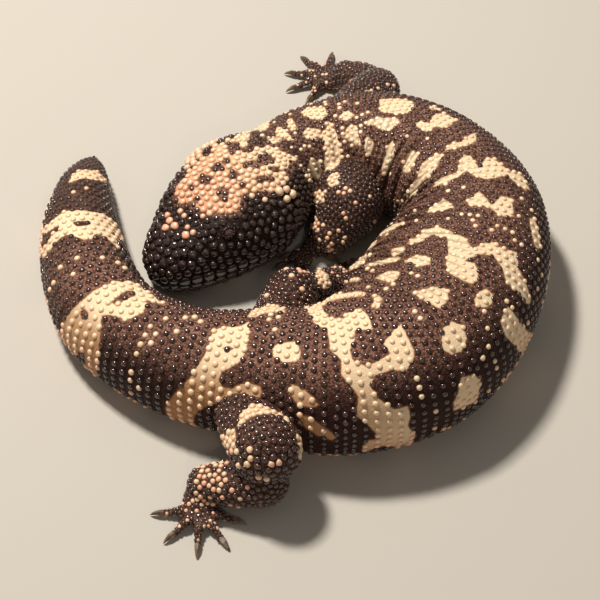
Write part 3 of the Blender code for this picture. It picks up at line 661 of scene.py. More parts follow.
head = np.flatnonzero(on_head)
normals = mesh_normals(skin.data)[head]
spot = place[head].copy()
swell = np.zeros(len(head))
for turn_of in SIDES.values():
    for at, degrees_round, reach, height in HEAD_FORMS:
        middle = surface_frame(at, turn_of(math.radians(degrees_round)))[0]
        swell += height * np.exp(-((spot - middle) ** 2).sum(axis=1) / reach**2)
along_mouth = np.minimum(distance[head], MOUTH_END)
over_mouth = spot[:, 2] - along(MOUTH, along_mouth)[:, 0]
mouth_here = ease(distance[head], *MOUTH_FROM)
swell -= LINE_DEPTH * np.exp(-((over_mouth / LIP_LINE) ** 2)) * mouth_here
swell += LIP_SWELL * np.exp(-(((np.abs(over_mouth) - LIP_MIDDLE) / 1.5) ** 2)) * mouth_here
swell -= CHIN_SINK * mouth_here * (over_mouth < 0) * ease(over_mouth, -9, -3)
spot += normals * swell[:, None]
for turn_of in SIDES.values():
    for hole, depth, rim in HOLES:
        reach, over, outward = from_hole(spot, hole, turn_of)
        near = np.abs(over) < HOLE_REACH
        spot -= outward * (near * depth * ease(reach, 1.15, 0.6))[:, None]
        spot += outward * (near * rim * np.exp(-(((reach - 1.5) / 0.4) ** 2)))[:, None]
print("head swells by", swell.max().round(2), "and sinks by", -swell.min().round(2), "mm")

# %% [markdown]
# The eyes are two small balls among the solids and stay. The lids are the skin itself: near each ball it is
# lifted to lie on the ball's surface, and inside an almond-shaped opening it is sunk behind it.

# %% Eyelids
LID_REACH = 5.0
SOFT = 4  # how sharply a lid leaves the face, more is sharper
BEHIND = 0.8  # how far the skin lies behind the ball in the opening

for point, outward, ahead, around in eyes.values():
    offset = spot - point
    a, b, high = offset @ ahead, offset @ around, offset @ outward
    out = np.hypot(a, b)
    near = (out < LID_REACH) & (np.abs(high) < LID_REACH)
    ball = np.sqrt(np.maximum(EYE_RADIUS**2 - out**2, 0)) - EYE_DEPTH
    dome = np.sqrt(np.maximum((EYE_RADIUS + LID_THICK) ** 2 - out**2, 0)) - EYE_DEPTH
    over_ball = np.where(out < EYE_RADIUS + LID_THICK, dome, -9)
    lid = np.logaddexp(high * SOFT, over_ball * SOFT) / SOFT
    shape = np.abs(b) / LID_OPEN[1] + (a / LID_OPEN[0]) ** 2
    closed = ease(shape, 0.85, 1.15)
    target = lid * closed + (ball - BEHIND) * (1 - closed)
    spot[near] += outward * (target - high)[near, None]
place[head] = spot
set_points(skin.data, place)
print("lids round", len(eyes), "eyes")

# %% [markdown]
# ## Where each scale stands
# On the real animal the beads are small bones under the skin, in rows across the body and staggered from
# row to row. So they aren't scattered. On the trunk and tail they start as exact rows, measured from the
# middle of the back. The bend crowds the rows on the left and parts them on the right, so places that are
# too near are dropped, empty ones are filled, and then all of them push each other apart a few times. Head,
# legs and belly have no clear rows in life, and there the filling alone places them.

# %% Spacing
SPACING = [
    (0, 2.4), (20, 2.9), (60, 3.5), (130, 3.6), (180, 3.4), (230, 3.1), (280, 2.9), (320, 2.6), (350, 2.4),
    (366, 2.1), (374, 1.8), (382, 2.4), (392, 2.7), (438.5, 2.8),
]
LIMB_SPACING = {"upper": 2.05, "lower": 2.2, "foot": 1.8, "toe": 1.45}
KNEE_SPACING = 2.7
KNEE_FROM = 0.45  # of the way down the thigh
BELLY_SPACING = 3.3
FACE_SPACING = 3.4
NECK_END = 372  # the skull begins here
FACE_FROM = 384
SNOUT_FROM = 424
FACE_SIDE = 0.78  # the sides of the face lie below this sine of the turn
CLOSEST = 0.78  # of the spacing
BARE_CREASE = 1.2  # a crease deeper than this has no scales at its bottom
BELLY_DOWN = -0.72

skin_graph = bpy.context.evaluated_depsgraph_get()
skin_tree = BVHTree.FromObject(skin, skin_graph)


def onto_skin(points):
    """The nearest places on the skin, and the skin's normals there."""
    found, normals = np.empty((len(points), 3)), np.empty((len(points), 3))
    for i, point in enumerate((points + MOVE) * MM):
        spot, normal, _, _ = skin_tree.find_nearest(Vector(point))
        found[i], normals[i] = spot, normal
    return found / MM - MOVE, normals


def spacing_of(part, distance, turn, points, normals):
    """How far apart the scales stand at each point."""
    wanted = np.interp(distance, *np.array(SPACING).T)
    face = (part == 0) & (distance > FACE_FROM)
    low = face & (np.sin(turn) < FACE_SIDE)
    snout = face & (distance > SNOUT_FROM)
    wanted = np.where(low | snout, FACE_SPACING, wanted)
    for number, name in enumerate(PARTS):
        if number:
            wanted = np.where(part == number, LIMB_SPACING[name.split("_")[2]], wanted)
            if name.endswith("upper") and name.startswith("hind"):
                knee = (part == number) & (distance > KNEE_FROM)
                wanted = np.where(knee, KNEE_SPACING, wanted)
    below = (part == 0) & (normals[:, 2] < BELLY_DOWN) & (distance < NECK_END)
    return np.where(below, BELLY_SPACING, wanted)


class Crowd:
    """Places already taken, in a grid of cells, so that only near ones are compared."""

    def __init__(self, cell):
        self.cell = cell
        self.cells = {}

    def key(self, point):
        """The cell that a point lies in."""
        return tuple(int(v // self.cell) for v in point)

    def free(self, point, reach):
        """Whether no place is taken within reach of a point. The reach is never more than a cell."""
        for cell in itertools.product(*(range(k - 1, k + 2) for k in self.key(point))):
            for other in self.cells.get(cell, ()):
                x, y, z = point[0] - other[0], point[1] - other[1], point[2] - other[2]
                if x**2 + y**2 + z**2 < reach * reach:
                    return False
        return True

    def take(self, point):
        """Marks a place as taken."""
        self.cells.setdefault(self.key(point), []).append(point)


print("scales stand", min(LIMB_SPACING.values()), "to", max(gap for _, gap in SPACING), "mm apart")

# %% Rows over the trunk
ROW_TURNS = np.radians(np.linspace(-38, 218, 160))
ROWS_FROM, ROWS_TO = 4.0, 370
ROW_STEP = 0.86  # from row to row, of the spacing, because the rows are staggered

rows_of_places = []
at = ROWS_FROM
row = 0
while at < ROWS_TO:
    gap = np.interp(at, *np.array(SPACING).T)
    ring = surface(at, ROW_TURNS, -SKIN_DEPTH)[0]
    lengths = np.r_[0, np.cumsum(np.linalg.norm(np.diff(ring, axis=0), axis=1))]
    middle = np.interp(math.pi / 2, ROW_TURNS, lengths)
    first = -math.floor(middle / gap + 0.5 * (row % 2)) + 0.5 * (row % 2)
    marks = middle + np.arange(first, (lengths[-1] - middle) / gap, 1.0) * gap
    marks = marks[marks > 0]
    rows_of_places.append(np.column_stack([np.interp(marks, lengths, ring[:, k]) for k in range(3)]))
    at += gap * ROW_STEP
    row += 1
row_places = np.vstack(rows_of_places)
print(row, "rows with", len(row_places), "places")

# %% Lips and lids
LIP_SCALES = (394.5, 437)  # along the mouth
LIP_STEP = 3.9
LIP_RISE = 2.3
LIP_TURNS = np.linspace(-0.9, 1.2, 200)
LID_RINGS = ((1.42, 16), (1.95, 20))  # size of each ring of scales, of the opening, and their count
LID_RISE = 0.6

lip_places = []
for turn_of in SIDES.values():
    for way in (1, -1):
        for at in np.arange(*LIP_SCALES, LIP_STEP):
            level = along(MOUTH, at)[0, 0] + way * LIP_RISE
            turns = np.array([turn_of(turn) for turn in LIP_TURNS])
            line = surface(at, turns, -SKIN_DEPTH)[0]
            lip_places.append(line[np.argmin(np.abs(line[:, 2] - level))])
lip_places = np.array(lip_places)

lid_places = []
for point, outward, ahead, around in eyes.values():
    for reach, count in LID_RINGS:
        for spin in full_turn(count):
            flat = ahead * math.cos(spin) * LID_OPEN[0] * reach
            flat = flat + around * math.sin(spin) * LID_OPEN[1] * reach
            lid_places.append(point + flat + outward * LID_RISE)
lid_places = np.array(lid_places)
print(len(lip_places), "places on the lips and", len(lid_places), "on the lids")

# %% Planned places first, then the filling
KEEP_OFF = ((NOSTRIL, 1.55), (EAR, 1.5))  # the size of the bare area, as a share of the hole's
BARE_REACH = 4
CELL = 3.6  # not less than the largest reach
SLIP = 2.4  # a planned place further from the skin than this is dropped
LID_SHARE, LIP_SHARE = 0.28, 0.9  # how near these may stand, of the spacing
MOUTH_ROOM = 1.6


def kept_bare(points):
    """Whether a point is in a nostril, in an ear or between the lids."""
    bare = np.zeros(len(points), bool)
    for turn_of in SIDES.values():
        for hole, room in KEEP_OFF:
            reach, over, _ = from_hole(points, hole, turn_of)
            bare |= (reach < room) & (np.abs(over) < BARE_REACH)
    for point, outward, ahead, around in eyes.values():
        offset = points - point
        reach = np.hypot(offset @ ahead / LID_OPEN[0], offset @ around / LID_OPEN[1] * 0.8)
        bare |= (reach < 1.1) & (np.abs(offset @ outward) < BARE_REACH)
    return bare


def tree_of(points):
    """A tree that finds the nearest of some points quickly."""
    tree = KDTree(len(points))
    for i, spot in enumerate(points):
        tree.insert(spot, i)
    tree.balance()
    return tree


def spaced(points, normals):
    """Where each point is on the body, and how far apart the scales stand there."""
    where = place_of(points)
    return where, spacing_of(where[0], where[1], where[2], points, normals)


crowd = Crowd(CELL)
sites = []
fixed = []
groups = ((lid_places, LID_SHARE, True), (lip_places, LIP_SHARE, True), (row_places, CLOSEST, False))
for group, factor, still in groups:
    spots, facing = onto_skin(group)
    where, gap = spaced(spots, facing)
    off = np.linalg.norm(spots - group, axis=1) > SLIP
    off |= (where[0] > 0) & (not still)
    off |= (facing[:, 2] < BELLY_DOWN) & (not still)
    off |= kept_bare(spots) & (not still)
    for spot, reach, skip in zip(spots.tolist(), gap * factor, off):
        if not skip and crowd.free(spot, reach):
            crowd.take(spot)
            sites.append(spot)
            fixed.append(still)
planned = len(sites)

facing = mesh_normals(skin.data)
part, distance, turn, rise, nearness = place_of(place)
gaps = spacing_of(part, distance, turn, place, facing)
along_mouth = np.where(part == 0, np.clip(distance, 0, MOUTH_END), 0)
over_mouth = place[:, 2] - along(MOUTH, along_mouth)[:, 0]
in_mouth = (part == 0) & (distance > 390) & (np.abs(over_mouth) < MOUTH_ROOM)
order = random.permutation(np.flatnonzero(~(kept_bare(place) | in_mouth)))
taken = tree_of(sites)
for i in order:
    spot = place[i].tolist()
    reach = gaps[i] * CLOSEST
    if taken.find(spot)[2] > reach and crowd.free(spot, reach):
        crowd.take(spot)
        sites.append(spot)
        fixed.append(False)
sites = np.array(sites)
fixed = np.array(fixed)
print(planned, "planned places and", len(sites) - planned, "filled")

# %% Settling
ROUNDS = 7
PUSHERS = 8  # how many neighbours push a scale
PUSH = 0.3  # of what is missing between two of them

for _ in range(ROUNDS):
    spots, facing = onto_skin(sites)
    where, gap = spaced(spots, facing)
    tree = tree_of(spots)
    push = np.zeros_like(spots)
    for i, spot in enumerate(spots):
        for other, j, away in tree.find_n(spot, PUSHERS)[1:]:
            room = (gap[i] + gap[j]) / 2
            if 1e-6 < away < room:
                push[i] += (spot - np.array(other)) / away * (room - away) * PUSH
    push[fixed] = 0
    sites = spots + push
sites, site_normals = onto_skin(sites)
kept = ~kept_bare(sites) | fixed
sites, site_normals, fixed = sites[kept], site_normals[kept], fixed[kept]
site_where, site_gap = spaced(sites, site_normals)
site_part, site_distance, site_turn, _, _ = site_where
kept = (creased(sites, site_part, site_distance, site_turn) < BARE_CREASE) | (site_distance > NECK_END)
sites, site_normals, fixed, site_gap = sites[kept], site_normals[kept], fixed[kept], site_gap[kept]
site_part, site_distance, site_turn = site_part[kept], site_distance[kept], site_turn[kept]
print(len(sites), "scales")

# %% [markdown]
# ## The camera first
# The markings were read off the photograph, so its camera has to be known before they can be laid on the
# hide. It looks down at 52 degrees from the side of the hind foot, from far enough away that
# the animal hardly narrows with distance.

# %% Camera
VIEW_TARGET = np.array([0.0, 0.0, 18.0])
VIEW_DISTANCE = 680.0
VIEW_ELEVATION = math.radians(52)
FRAME_PX = 600
MM_PER_PX = 0.36  # at the target
SENSOR = 36.0
CLIP = (0.01, 20)  # in metres

view_ahead = np.array([0, math.cos(VIEW_ELEVATION), -math.sin(VIEW_ELEVATION)])
view_up = np.array([0, math.sin(VIEW_ELEVATION), math.cos(VIEW_ELEVATION)])
view_right = np.array([1.0, 0, 0])
view_from = VIEW_TARGET - view_ahead * VIEW_DISTANCE
focal_px = VIEW_DISTANCE / MM_PER_PX

camera_data = bpy.data.cameras.new("camera")
camera_data.sensor_width = SENSOR
camera_data.lens = SENSOR * focal_px / FRAME_PX
camera_data.clip_start, camera_data.clip_end = CLIP
camera = linked("camera", camera_data)
camera.location = (view_from + MOVE) * MM
camera.rotation_euler = (math.pi / 2 - VIEW_ELEVATION, 0, 0)
bpy.context.scene.camera = camera


def pixel_of(points):
    """Where points in plan millimetres fall in the photograph's frame."""
    offset = points - view_from
    deep = offset @ view_ahead
    across = FRAME_PX / 2 + focal_px * (offset @ view_right) / deep
    down = FRAME_PX / 2 - focal_px * (offset @ view_up) / deep
    return np.column_stack([across, down])


def facing_view(points, normals):
    """How squarely the hide faces the camera at each point, 1 full on and below 0 turned away."""
    to_view = view_from - points
    to_view /= np.linalg.norm(to_view, axis=1)[:, None]
    return (to_view * normals).sum(axis=1)


print("lens", round(camera_data.lens, 1), "mm")

# %% [markdown]
# ## The markings
# Cream blotches lie on a dark ground, crisp at the edge, and single cream beads are strewn between them. Each
# blotch is an outline in the photograph's pixels, one list per part of the body, so that an outline on the
# trunk never lands on a leg in front of it. The side that the photograph doesn't show gets blotches of the
# same kind, given by their place on the body.

# %% Light outlines on the trunk
TRUNK_LIGHT = {
    "tail band at the tip": [
        (68, 183), (72, 175), (80, 170), (95, 170), (104, 176), (108, 184), (100, 181), (84, 178),
    ],
    "tail band": [
        (44, 252), (36, 262), (35, 245), (42, 230), (55, 218), (64, 211), (80, 210), (92, 212), (103, 213),
        (114, 221), (120, 234), (125, 246), (129, 258), (118, 248), (110, 241), (102, 236), (95, 234),
        (92, 239), (84, 240), (74, 236), (66, 235), (58, 240), (52, 248), (44, 258),
    ],
    "tail band by the snout": [
        (108, 284), (116, 281), (130, 280), (140, 286), (150, 292), (160, 301), (168, 305), (156, 303),
        (146, 300), (148, 305), (142, 312), (133, 318), (126, 320), (118, 317), (108, 315), (102, 316),
        (101, 330), (99, 352), (98, 372), (101, 392), (92, 384), (80, 368), (68, 348), (60, 335), (63, 322),
        (70, 311), (80, 302), (88, 295), (96, 289),
    ],
    "hip patch": [
        (213, 330), (222, 327), (240, 326), (250, 321), (249, 335), (246, 352), (240, 362), (230, 368),
        (222, 372), (219, 380), (223, 387), (232, 388), (240, 384), (250, 383), (260, 386), (263, 393),
        (258, 401), (245, 403), (228, 402), (215, 403), (204, 408), (195, 415), (192, 427), (178, 430),
        (168, 420), (165, 408), (172, 396), (183, 385), (192, 375), (200, 362), (208, 348),
    ],
    "square": [(272, 346), (280, 343), (297, 341), (301, 352), (299, 361), (284, 363), (273, 357)],
    "blob behind the thigh": [
        (288, 392), (292, 384), (302, 387), (312, 396), (319, 405), (313, 408), (298, 405),
    ],
    "bar behind the thigh": [
        (297, 414), (308, 416), (324, 427), (337, 436), (334, 441), (318, 436), (303, 426),
    ],
    "branching patch": [
        (305, 308), (313, 305), (330, 300), (322, 306), (325, 312), (330, 318), (344, 318), (348, 312),
        (356, 308.5), (363, 310), (370, 318), (373, 330), (355, 330), (355, 340), (350, 350), (353, 360),
        (366, 366), (378, 361), (390, 353), (383, 343), (393, 331), (401, 323), (406, 333), (414, 350),
        (414, 358), (406, 371), (393, 370), (375, 375), (371, 386), (378, 398), (394, 409), (408, 406),
        (411, 416), (408, 426), (416, 436), (406, 448), (383, 446), (366, 452), (362, 449), (366, 441),
        (380, 438), (366, 423), (356, 416), (358, 396), (350, 385), (341, 375), (341, 360), (330, 350),
        (327, 328), (317, 327),
    ],
    "oval": [
        (443, 328), (452, 321), (463, 325), (467, 338), (462, 351), (452, 355), (443, 350), (441, 338),
    ],
    "patch below the oval": [
        (461, 377), (472, 375), (481, 378), (480, 392), (476, 402), (462, 408), (454, 411), (453, 404),
        (458, 392),
    ],
    "patch on the flank": [
        (500, 320), (508, 306), (515, 314), (524, 327), (534, 338), (536, 345), (528, 351), (521, 355),
        (514, 345), (505, 336),
    ],
    "winding patch": [
        (406, 244), (411, 239), (419, 236), (423, 230), (438, 226), (453, 232), (464, 237), (473, 248),
        (483, 243), (493, 241.5), (502, 248), (517, 252), (519, 269), (527, 285), (531.5, 301), (528, 306),
        (517, 291), (507, 284), (501, 266), (493, 256), (479, 254), (465, 261), (474.5, 263), (479, 271),
        (477, 281.5), (470, 284), (460, 279), (450, 274), (445.5, 264.5), (448, 251), (447, 237),
        (431, 235.5), (420, 243),
    ],
    "block in the folds": [
        (391, 249), (398, 247), (405, 246), (405, 252), (400, 254), (394, 256), (391, 254),
    ],
    "sausage": [
        (379, 235), (381, 230), (388, 227), (394, 224), (400, 220), (405, 219), (404, 223), (399, 226),
        (392, 232), (386, 235), (382, 237),
    ],
    "triangle at the edge": [(364, 250), (370, 243), (374, 239), (377, 243), (373, 247), (368, 251)],
    "strip at the edge": [
        (346, 272), (352, 265), (359, 258), (367, 253.5), (380, 250.5), (378, 253.5), (368, 256),
        (364, 262), (357, 268), (350, 271),
    ],
    "strip in the folds": [
        (360, 266), (372, 262.5), (380, 260), (390, 257.5), (401, 255.5), (401, 259), (390, 263),
        (380, 265.5), (370, 266.5),
    ],
    "ragged strip": [
        (401, 261), (407, 259.5), (412, 256), (420, 255), (431, 257), (431, 264), (420, 267), (412, 263),
        (405, 263),
    ],
    "leaf": [
        (375, 278), (380, 274.5), (386, 271), (400, 270.5), (400, 275), (396, 280), (391, 283), (384, 281),
    ],
    "thin strip": [
        (335, 287), (344, 283), (348, 279), (363, 278), (360, 281), (350, 282), (345, 285), (338, 288.5),
    ],
    "long strip": [
        (314, 302), (320, 299), (328, 296), (336, 293), (345, 293), (357, 291), (365, 292), (368, 295.5),
        (356, 297), (345, 298), (335, 300), (328, 302), (318, 303),
    ],
    "blob in the folds": [
        (373, 296), (379, 295), (383, 299), (381, 303), (380, 308), (375, 309), (371, 305), (374, 301),
    ],
    "teardrop": [
        (412, 292), (424, 289), (436, 286), (448, 289), (448, 301), (439, 309), (430, 304), (420, 298.5),
    ],
    "blob beside the teardrop": [
        (474, 300), (478, 292), (486, 288), (493, 294), (492, 304), (484, 308), (476, 306),
    ],
    "strip on the far flank": [(529, 218), (534, 216), (538, 228), (541, 246), (537, 250), (532, 240)],
    "double patch": [
        (467, 200), (479, 190.6), (487, 199), (491.5, 205), (501, 195.5), (512, 198), (514.5, 217),
        (499, 216), (491.5, 209), (484, 206), (468.5, 206),
    ],
    "triangle": [(424, 214), (434, 205), (443, 198), (452, 203), (455, 208), (444, 210)],
    "zigzag patch": [
        (432, 188), (440, 178), (457, 172), (460, 160), (462, 154), (471, 155.5), (479, 168), (485.5, 158),
        (494, 158), (508.5, 170), (522, 174), (530, 189), (525.5, 191), (507, 176), (499, 177), (487, 180),
        (474.5, 176), (467, 171), (458, 177), (446, 184),
    ],
    "spoke 1": [
        (401, 202), (407, 192), (412, 184), (419, 178), (430, 170), (441, 160), (434, 172), (421, 184),
        (416, 194),
    ],
    "spoke 2": [(416, 172), (424, 162), (437, 153), (443, 155), (438, 163), (426, 174), (419, 178)],
    "spoke 3": [
        (442, 153), (450, 144), (461, 141), (471, 134), (477, 132), (476, 142), (466, 146), (456, 148),
    ],
    "spoke 4": [(403, 172), (400, 168), (404, 158), (411, 149), (419, 154), (414, 164), (408, 174)],
    "spoke 5": [(381, 176), (382, 160), (386, 146), (393, 140), (396, 150), (392, 164), (386, 175)],
    "spoke 6": [(364, 138), (370, 136), (374, 143), (371, 155), (366, 157), (364, 148)],
    "far patch 1": [(379, 99), (398, 98), (411, 101), (416, 106), (409, 113), (395, 114), (380, 112)],
    "far patch 2": [
        (365, 121), (378, 117), (398, 118), (401, 123), (390, 131), (383, 131), (375, 126), (366, 126),
    ],
    "far patch 3": [
        (413, 124), (420, 120), (430, 123), (433, 114), (442, 113), (450, 115), (457, 120), (447, 128),
        (436, 127), (426, 132), (417, 127),
    ],
    "far patch 4": [(428, 105), (437, 107), (441, 110), (431, 110)],
    "neck patch 1": [(300, 112), (307, 107), (325, 107), (328, 114), (322, 120), (309, 119)],
    "neck patch 2": [(338, 119), (343, 111), (350, 110), (355, 116), (346, 121)],
    "neck patch 3": [(302, 133), (307, 128), (318, 128), (321, 134), (316, 140), (305, 138)],
    "neck patch 4": [
        (266, 143), (266, 139), (276, 137), (275, 130), (278, 126), (284, 128), (289, 134), (295, 140),
        (291, 141), (283, 138), (281, 142), (270, 145),
    ],
    "neck patch 5": [(286, 120), (292, 118), (297, 128), (294, 132), (289, 128)],
    "neck patch 6": [(255, 130), (262, 120), (270, 119), (268, 128), (262, 133)],
    "neck patch 8": [
        (321, 133), (327, 128), (336, 131), (340, 142), (341, 152), (340, 163), (333, 170), (325, 172),
        (323, 164), (326, 150), (323, 142),
    ],
    "neck patch 9": [(341, 137), (348, 126), (357, 125), (359, 137), (363, 146), (355, 145), (346, 139)],
    "neck patch 10": [(308, 162), (313, 157), (321, 160), (322, 173), (318, 180), (309, 177), (307, 168)],
    "neck patch 11": [(328, 176), (333, 172), (340, 174), (339, 183), (332, 188), (328, 184)],
    "neck patch 12": [(306, 194), (316, 191), (326, 191), (325, 200), (315, 207), (309, 204)],
    "tip of the tail band": [(325, 122), (331, 121), (334, 130), (329, 131)],
    "strip by the hidden thigh": [
        (247, 317), (252, 309), (262, 304), (274, 302), (284, 307), (286, 313), (274, 312), (262, 314),
        (254, 318),
    ],
}
print(len(TRUNK_LIGHT), "light outlines on the trunk")

# %% Light outlines on the head and the legs
LIGHT = {
    "trunk": TRUNK_LIGHT,
    "head": {
        "crown": [
            (178, 203), (176, 193), (175, 187), (180, 181), (187, 174), (187, 166), (185, 160), (192, 154),
            (203, 148), (214, 144), (222, 144), (229, 149), (232, 155), (240, 150), (249, 153), (256, 148),
            (270, 146), (281, 150), (289, 155), (299, 155), (299, 159), (290, 161), (289, 168), (281, 171),
            (287, 176), (288, 184), (292, 190), (293, 196), (285, 194), (272, 191), (258, 191), (247, 190),
            (241, 197), (241, 205), (237, 212), (222, 213), (210, 212), (203, 211), (196, 208), (193, 203),
        ],
        "nape": [
            (224, 142), (229, 139), (236, 139), (240, 132), (251, 131), (249, 141), (246, 149), (240, 147),
            (236, 142), (229, 143),
        ],
    },
    "hind_left": {
        "shin": [(249, 318), (256, 309), (268, 304), (280, 305), (284, 312), (276, 318)],
        "foot": [(314, 274), (320, 269), (328, 274), (331, 286), (324, 290), (318, 284)],
    },
    "hind_right": {
        "ring above the knee": [
            (236, 430), (239, 419), (242, 411), (246, 406.5), (257, 404), (266, 405.5), (271, 409),
            (281, 413.5), (291, 422), (289, 424), (280, 417.5), (271, 414.5), (260, 413.5), (251, 416.5),
            (246, 421), (241, 426),
        ],
        "beads beside the knee": [
            (221, 437), (225, 435), (229, 430), (235, 430), (236, 438), (236, 448), (231, 452), (226, 448),
            (222, 444),
        ],
        "ring right of the knee": [
            (294, 437), (298, 436), (301, 446), (303, 453), (300, 458), (296, 455), (298, 446),
        ],
    },
    # The neck's patches run on over the root of the folded foreleg.
    "fore_left": {name: outline for name, outline in TRUNK_LIGHT.items() if name.startswith("neck")},
}
print(len(LIGHT), "parts of the body with light outlines")

# %% Dark marks inside the light ones
DARK = {
    "trunk": {
        "hole in the tail band": [(73, 223), (76, 221), (86, 221), (90, 223), (86, 226), (76, 226)],
        "holes in its left": [(42, 238), (50, 230), (59, 226), (60, 230), (52, 234), (46, 246), (42, 248)],
        "hole in its right": [(110, 230), (116, 234), (119, 239), (115, 237)],
        "hole by the snout": [
            (111, 302), (118, 297), (124, 291), (132, 291), (136, 295), (126, 299), (116, 305),
        ],
        "spot in the third band": [(80, 312), (84, 309), (88, 313), (87, 319), (82, 319)],
        "long hole in the third band": [(78, 352), (84, 353), (85, 366), (83, 374), (78, 362)],
        "mark on the hip": [(223, 348), (228, 346), (234, 349), (228, 351)],
    },
}
# Ovals on the crown: middle across and down, half width, half height.
CROWN_SPOTS = [
    (207, 152.5, 6.5, 3.5), (234, 148.5, 6.5, 5), (226, 161, 4, 4), (217, 168, 6.5, 5), (206, 180, 8, 5),
    (234, 176, 6, 5), (223, 193, 6, 8), (263, 180, 10, 4.5), (253, 165, 10, 4.5), (266, 159, 9, 5),
    (275, 169, 6, 3), (243, 186, 5, 3), (197, 200, 4, 3), (191, 187, 3, 2.5), (184, 174, 4, 5),
]
print(sum(len(marks) for marks in DARK.values()), "dark outlines and", len(CROWN_SPOTS), "ovals")

# %% Single light beads, and beaded areas
DOTS = {
    "trunk": [
        (75, 190), (88, 190), (80, 259), (102, 257), (59, 269), (73, 277), (57, 282), (49, 290), (45, 300),
        (44, 320), (118, 265), (125, 270), (163, 318), (183, 321), (192, 318), (198, 320), (155, 327),
        (147, 336), (160, 336), (175, 335), (140, 347), (153, 346), (135, 358), (148, 358), (131, 373),
        (129, 383), (129, 392), (139, 391), (129, 403), (275, 327), (265, 320), (274, 318), (282, 320),
        (414, 313), (419, 322), (366, 270.5), (374, 270.5), (371, 274), (388, 289), (394, 287), (396, 201),
        (366, 285), (413, 211), (418, 218), (487, 315), (490, 325), (485, 333), (487, 345), (479, 361),
        (488, 358), (497, 358), (492, 368), (499, 368), (500, 378), (506, 377), (491, 389), (414, 381),
        (424, 386), (435, 391), (424, 398), (415, 393), (432, 365), (441, 365), (444, 374), (432, 414),
        (434, 427), (441, 426), (450, 216), (461, 217), (470, 218.5), (477, 214), (467, 213),
        (474.5, 224.5), (490, 228), (497, 228), (505.5, 231.6), (516, 232), (514.5, 238), (523, 246),
        (523, 202), (530, 207), (412, 270.6), (418, 274), (364, 113), (370, 114), (356, 104), (301, 148),
        (307, 147), (298, 169), (303, 178), (296, 184), (387, 175), (391, 173), (420, 197), (410, 138),
        (427, 138), (450, 191), (463, 190), (346, 158), (349, 166), (324, 206), (331, 203), (540, 262),
        (541, 275), (537, 290), (521, 220), (505, 300), (512, 306), (530, 322), (528, 368), (515, 385),
        (470, 418), (476, 424), (452, 430), (460, 440),
    ],
    "head": [
        (252, 198), (266, 197), (287, 195), (292, 196), (169, 213), (163, 226), (173, 221), (178.5, 226.5),
        (188.5, 227), (196, 229), (185, 236), (184, 218), (183, 212), (209, 215), (287, 177), (202, 214),
    ],
    "fore_left": [
        (348, 188), (353, 189), (341, 193.5), (345, 216), (346, 239), (370, 196), (358, 203), (340, 230),
        (372, 222), (344, 216), (342, 194), (322.5, 227), (329, 231), (327.5, 236), (331, 241.5),
        (332, 247.5), (342, 242),
    ],
    "hind_left": [(297, 271), (302, 274), (286, 266), (290, 276), (268, 296), (300, 290)],
    "fore_right": [(379, 90), (386, 84), (392, 92), (398, 80), (384, 95), (394, 86), (372, 92)],
    "hind_right": [
        (279.5, 462.5), (271, 466), (268, 476), (258, 476), (250, 457), (241.5, 463), (247, 466.5),
        (211, 458), (216, 458), (222, 458.5), (217, 454), (222, 453), (227, 452), (234, 453.5), (240, 452),
        (246, 451), (250, 449), (213, 465), (218, 464.5), (205, 473.5), (210.5, 472.5), (216.5, 472),
        (222, 471.5), (209.5, 480), (215, 479), (222, 478.5), (207, 487), (216, 486.5), (223, 486.5),
        (235, 488), (249, 488), (200, 473), (197, 480), (185, 503), (192, 502), (199, 503), (206, 501),
        (212, 505), (225, 498), (240, 495), (198, 512), (215, 514), (232, 508), (228, 465), (205, 462),
    ],
}
# Areas where most beads are light but the hide between them is dark, again in pixels.
BEADED = {
    "hind_right": [(190, 470), (204, 460), (222, 462), (228, 476), (224, 496), (206, 506), (192, 496)],
    "fore_left": [
        (306, 206), (311, 204), (317, 220), (327, 238), (334, 250), (329, 252), (320, 240), (311, 224),
    ],
}
print(sum(len(dots) for dots in DOTS.values()), "single light beads")

# %% Blotches on the sides that the camera doesn't see
# Distance, turn in degrees, half length, half turn.
FAR_LIGHT = [
    (12, 200, 5, 40), (38, 195, 9, 60), (76, 215, 10, 45), (96, -20, 6, 25), (112, 205, 8, 30),
    (142, 205, 10, 26), (168, 175, 8, 16), (176, 215, 10, 20), (205, 195, 9, 16), (214, 170, 7, 10),
    (232, 205, 11, 18), (255, 180, 9, 16), (268, 208, 8, 14), (288, 188, 10, 18), (305, 160, 8, 14),
    (318, 195, 9, 20), (338, 170, 8, 16), (346, 208, 7, 18), (358, 150, 6, 14), (364, 190, 6, 20),
    (386, 165, 7, 16), (300, -30, 8, 18), (262, -25, 8, 14), (216, -20, 8, 16), (150, -30, 9, 18),
    (60, -35, 7, 16), (180, -60, 9, 15), (240, -75, 12, 14), (290, -100, 10, 16), (130, -110, 9, 20),
    (200, -120, 10, 16), (60, -100, 8, 30), (330, -80, 8, 20),
]
print(len(FAR_LIGHT), "blotches out of sight")

# %% [markdown]
# ## Laying the markings on the hide
# Each point of the hide gets one number, its depth inside the light area in millimetres, below zero outside.
# A depth is better than a yes or no: the material can cut it at zero for a crisp edge between two points of
# the mesh, and widen it into a thin rust-coloured border. Scales take one colour each, by their middle.

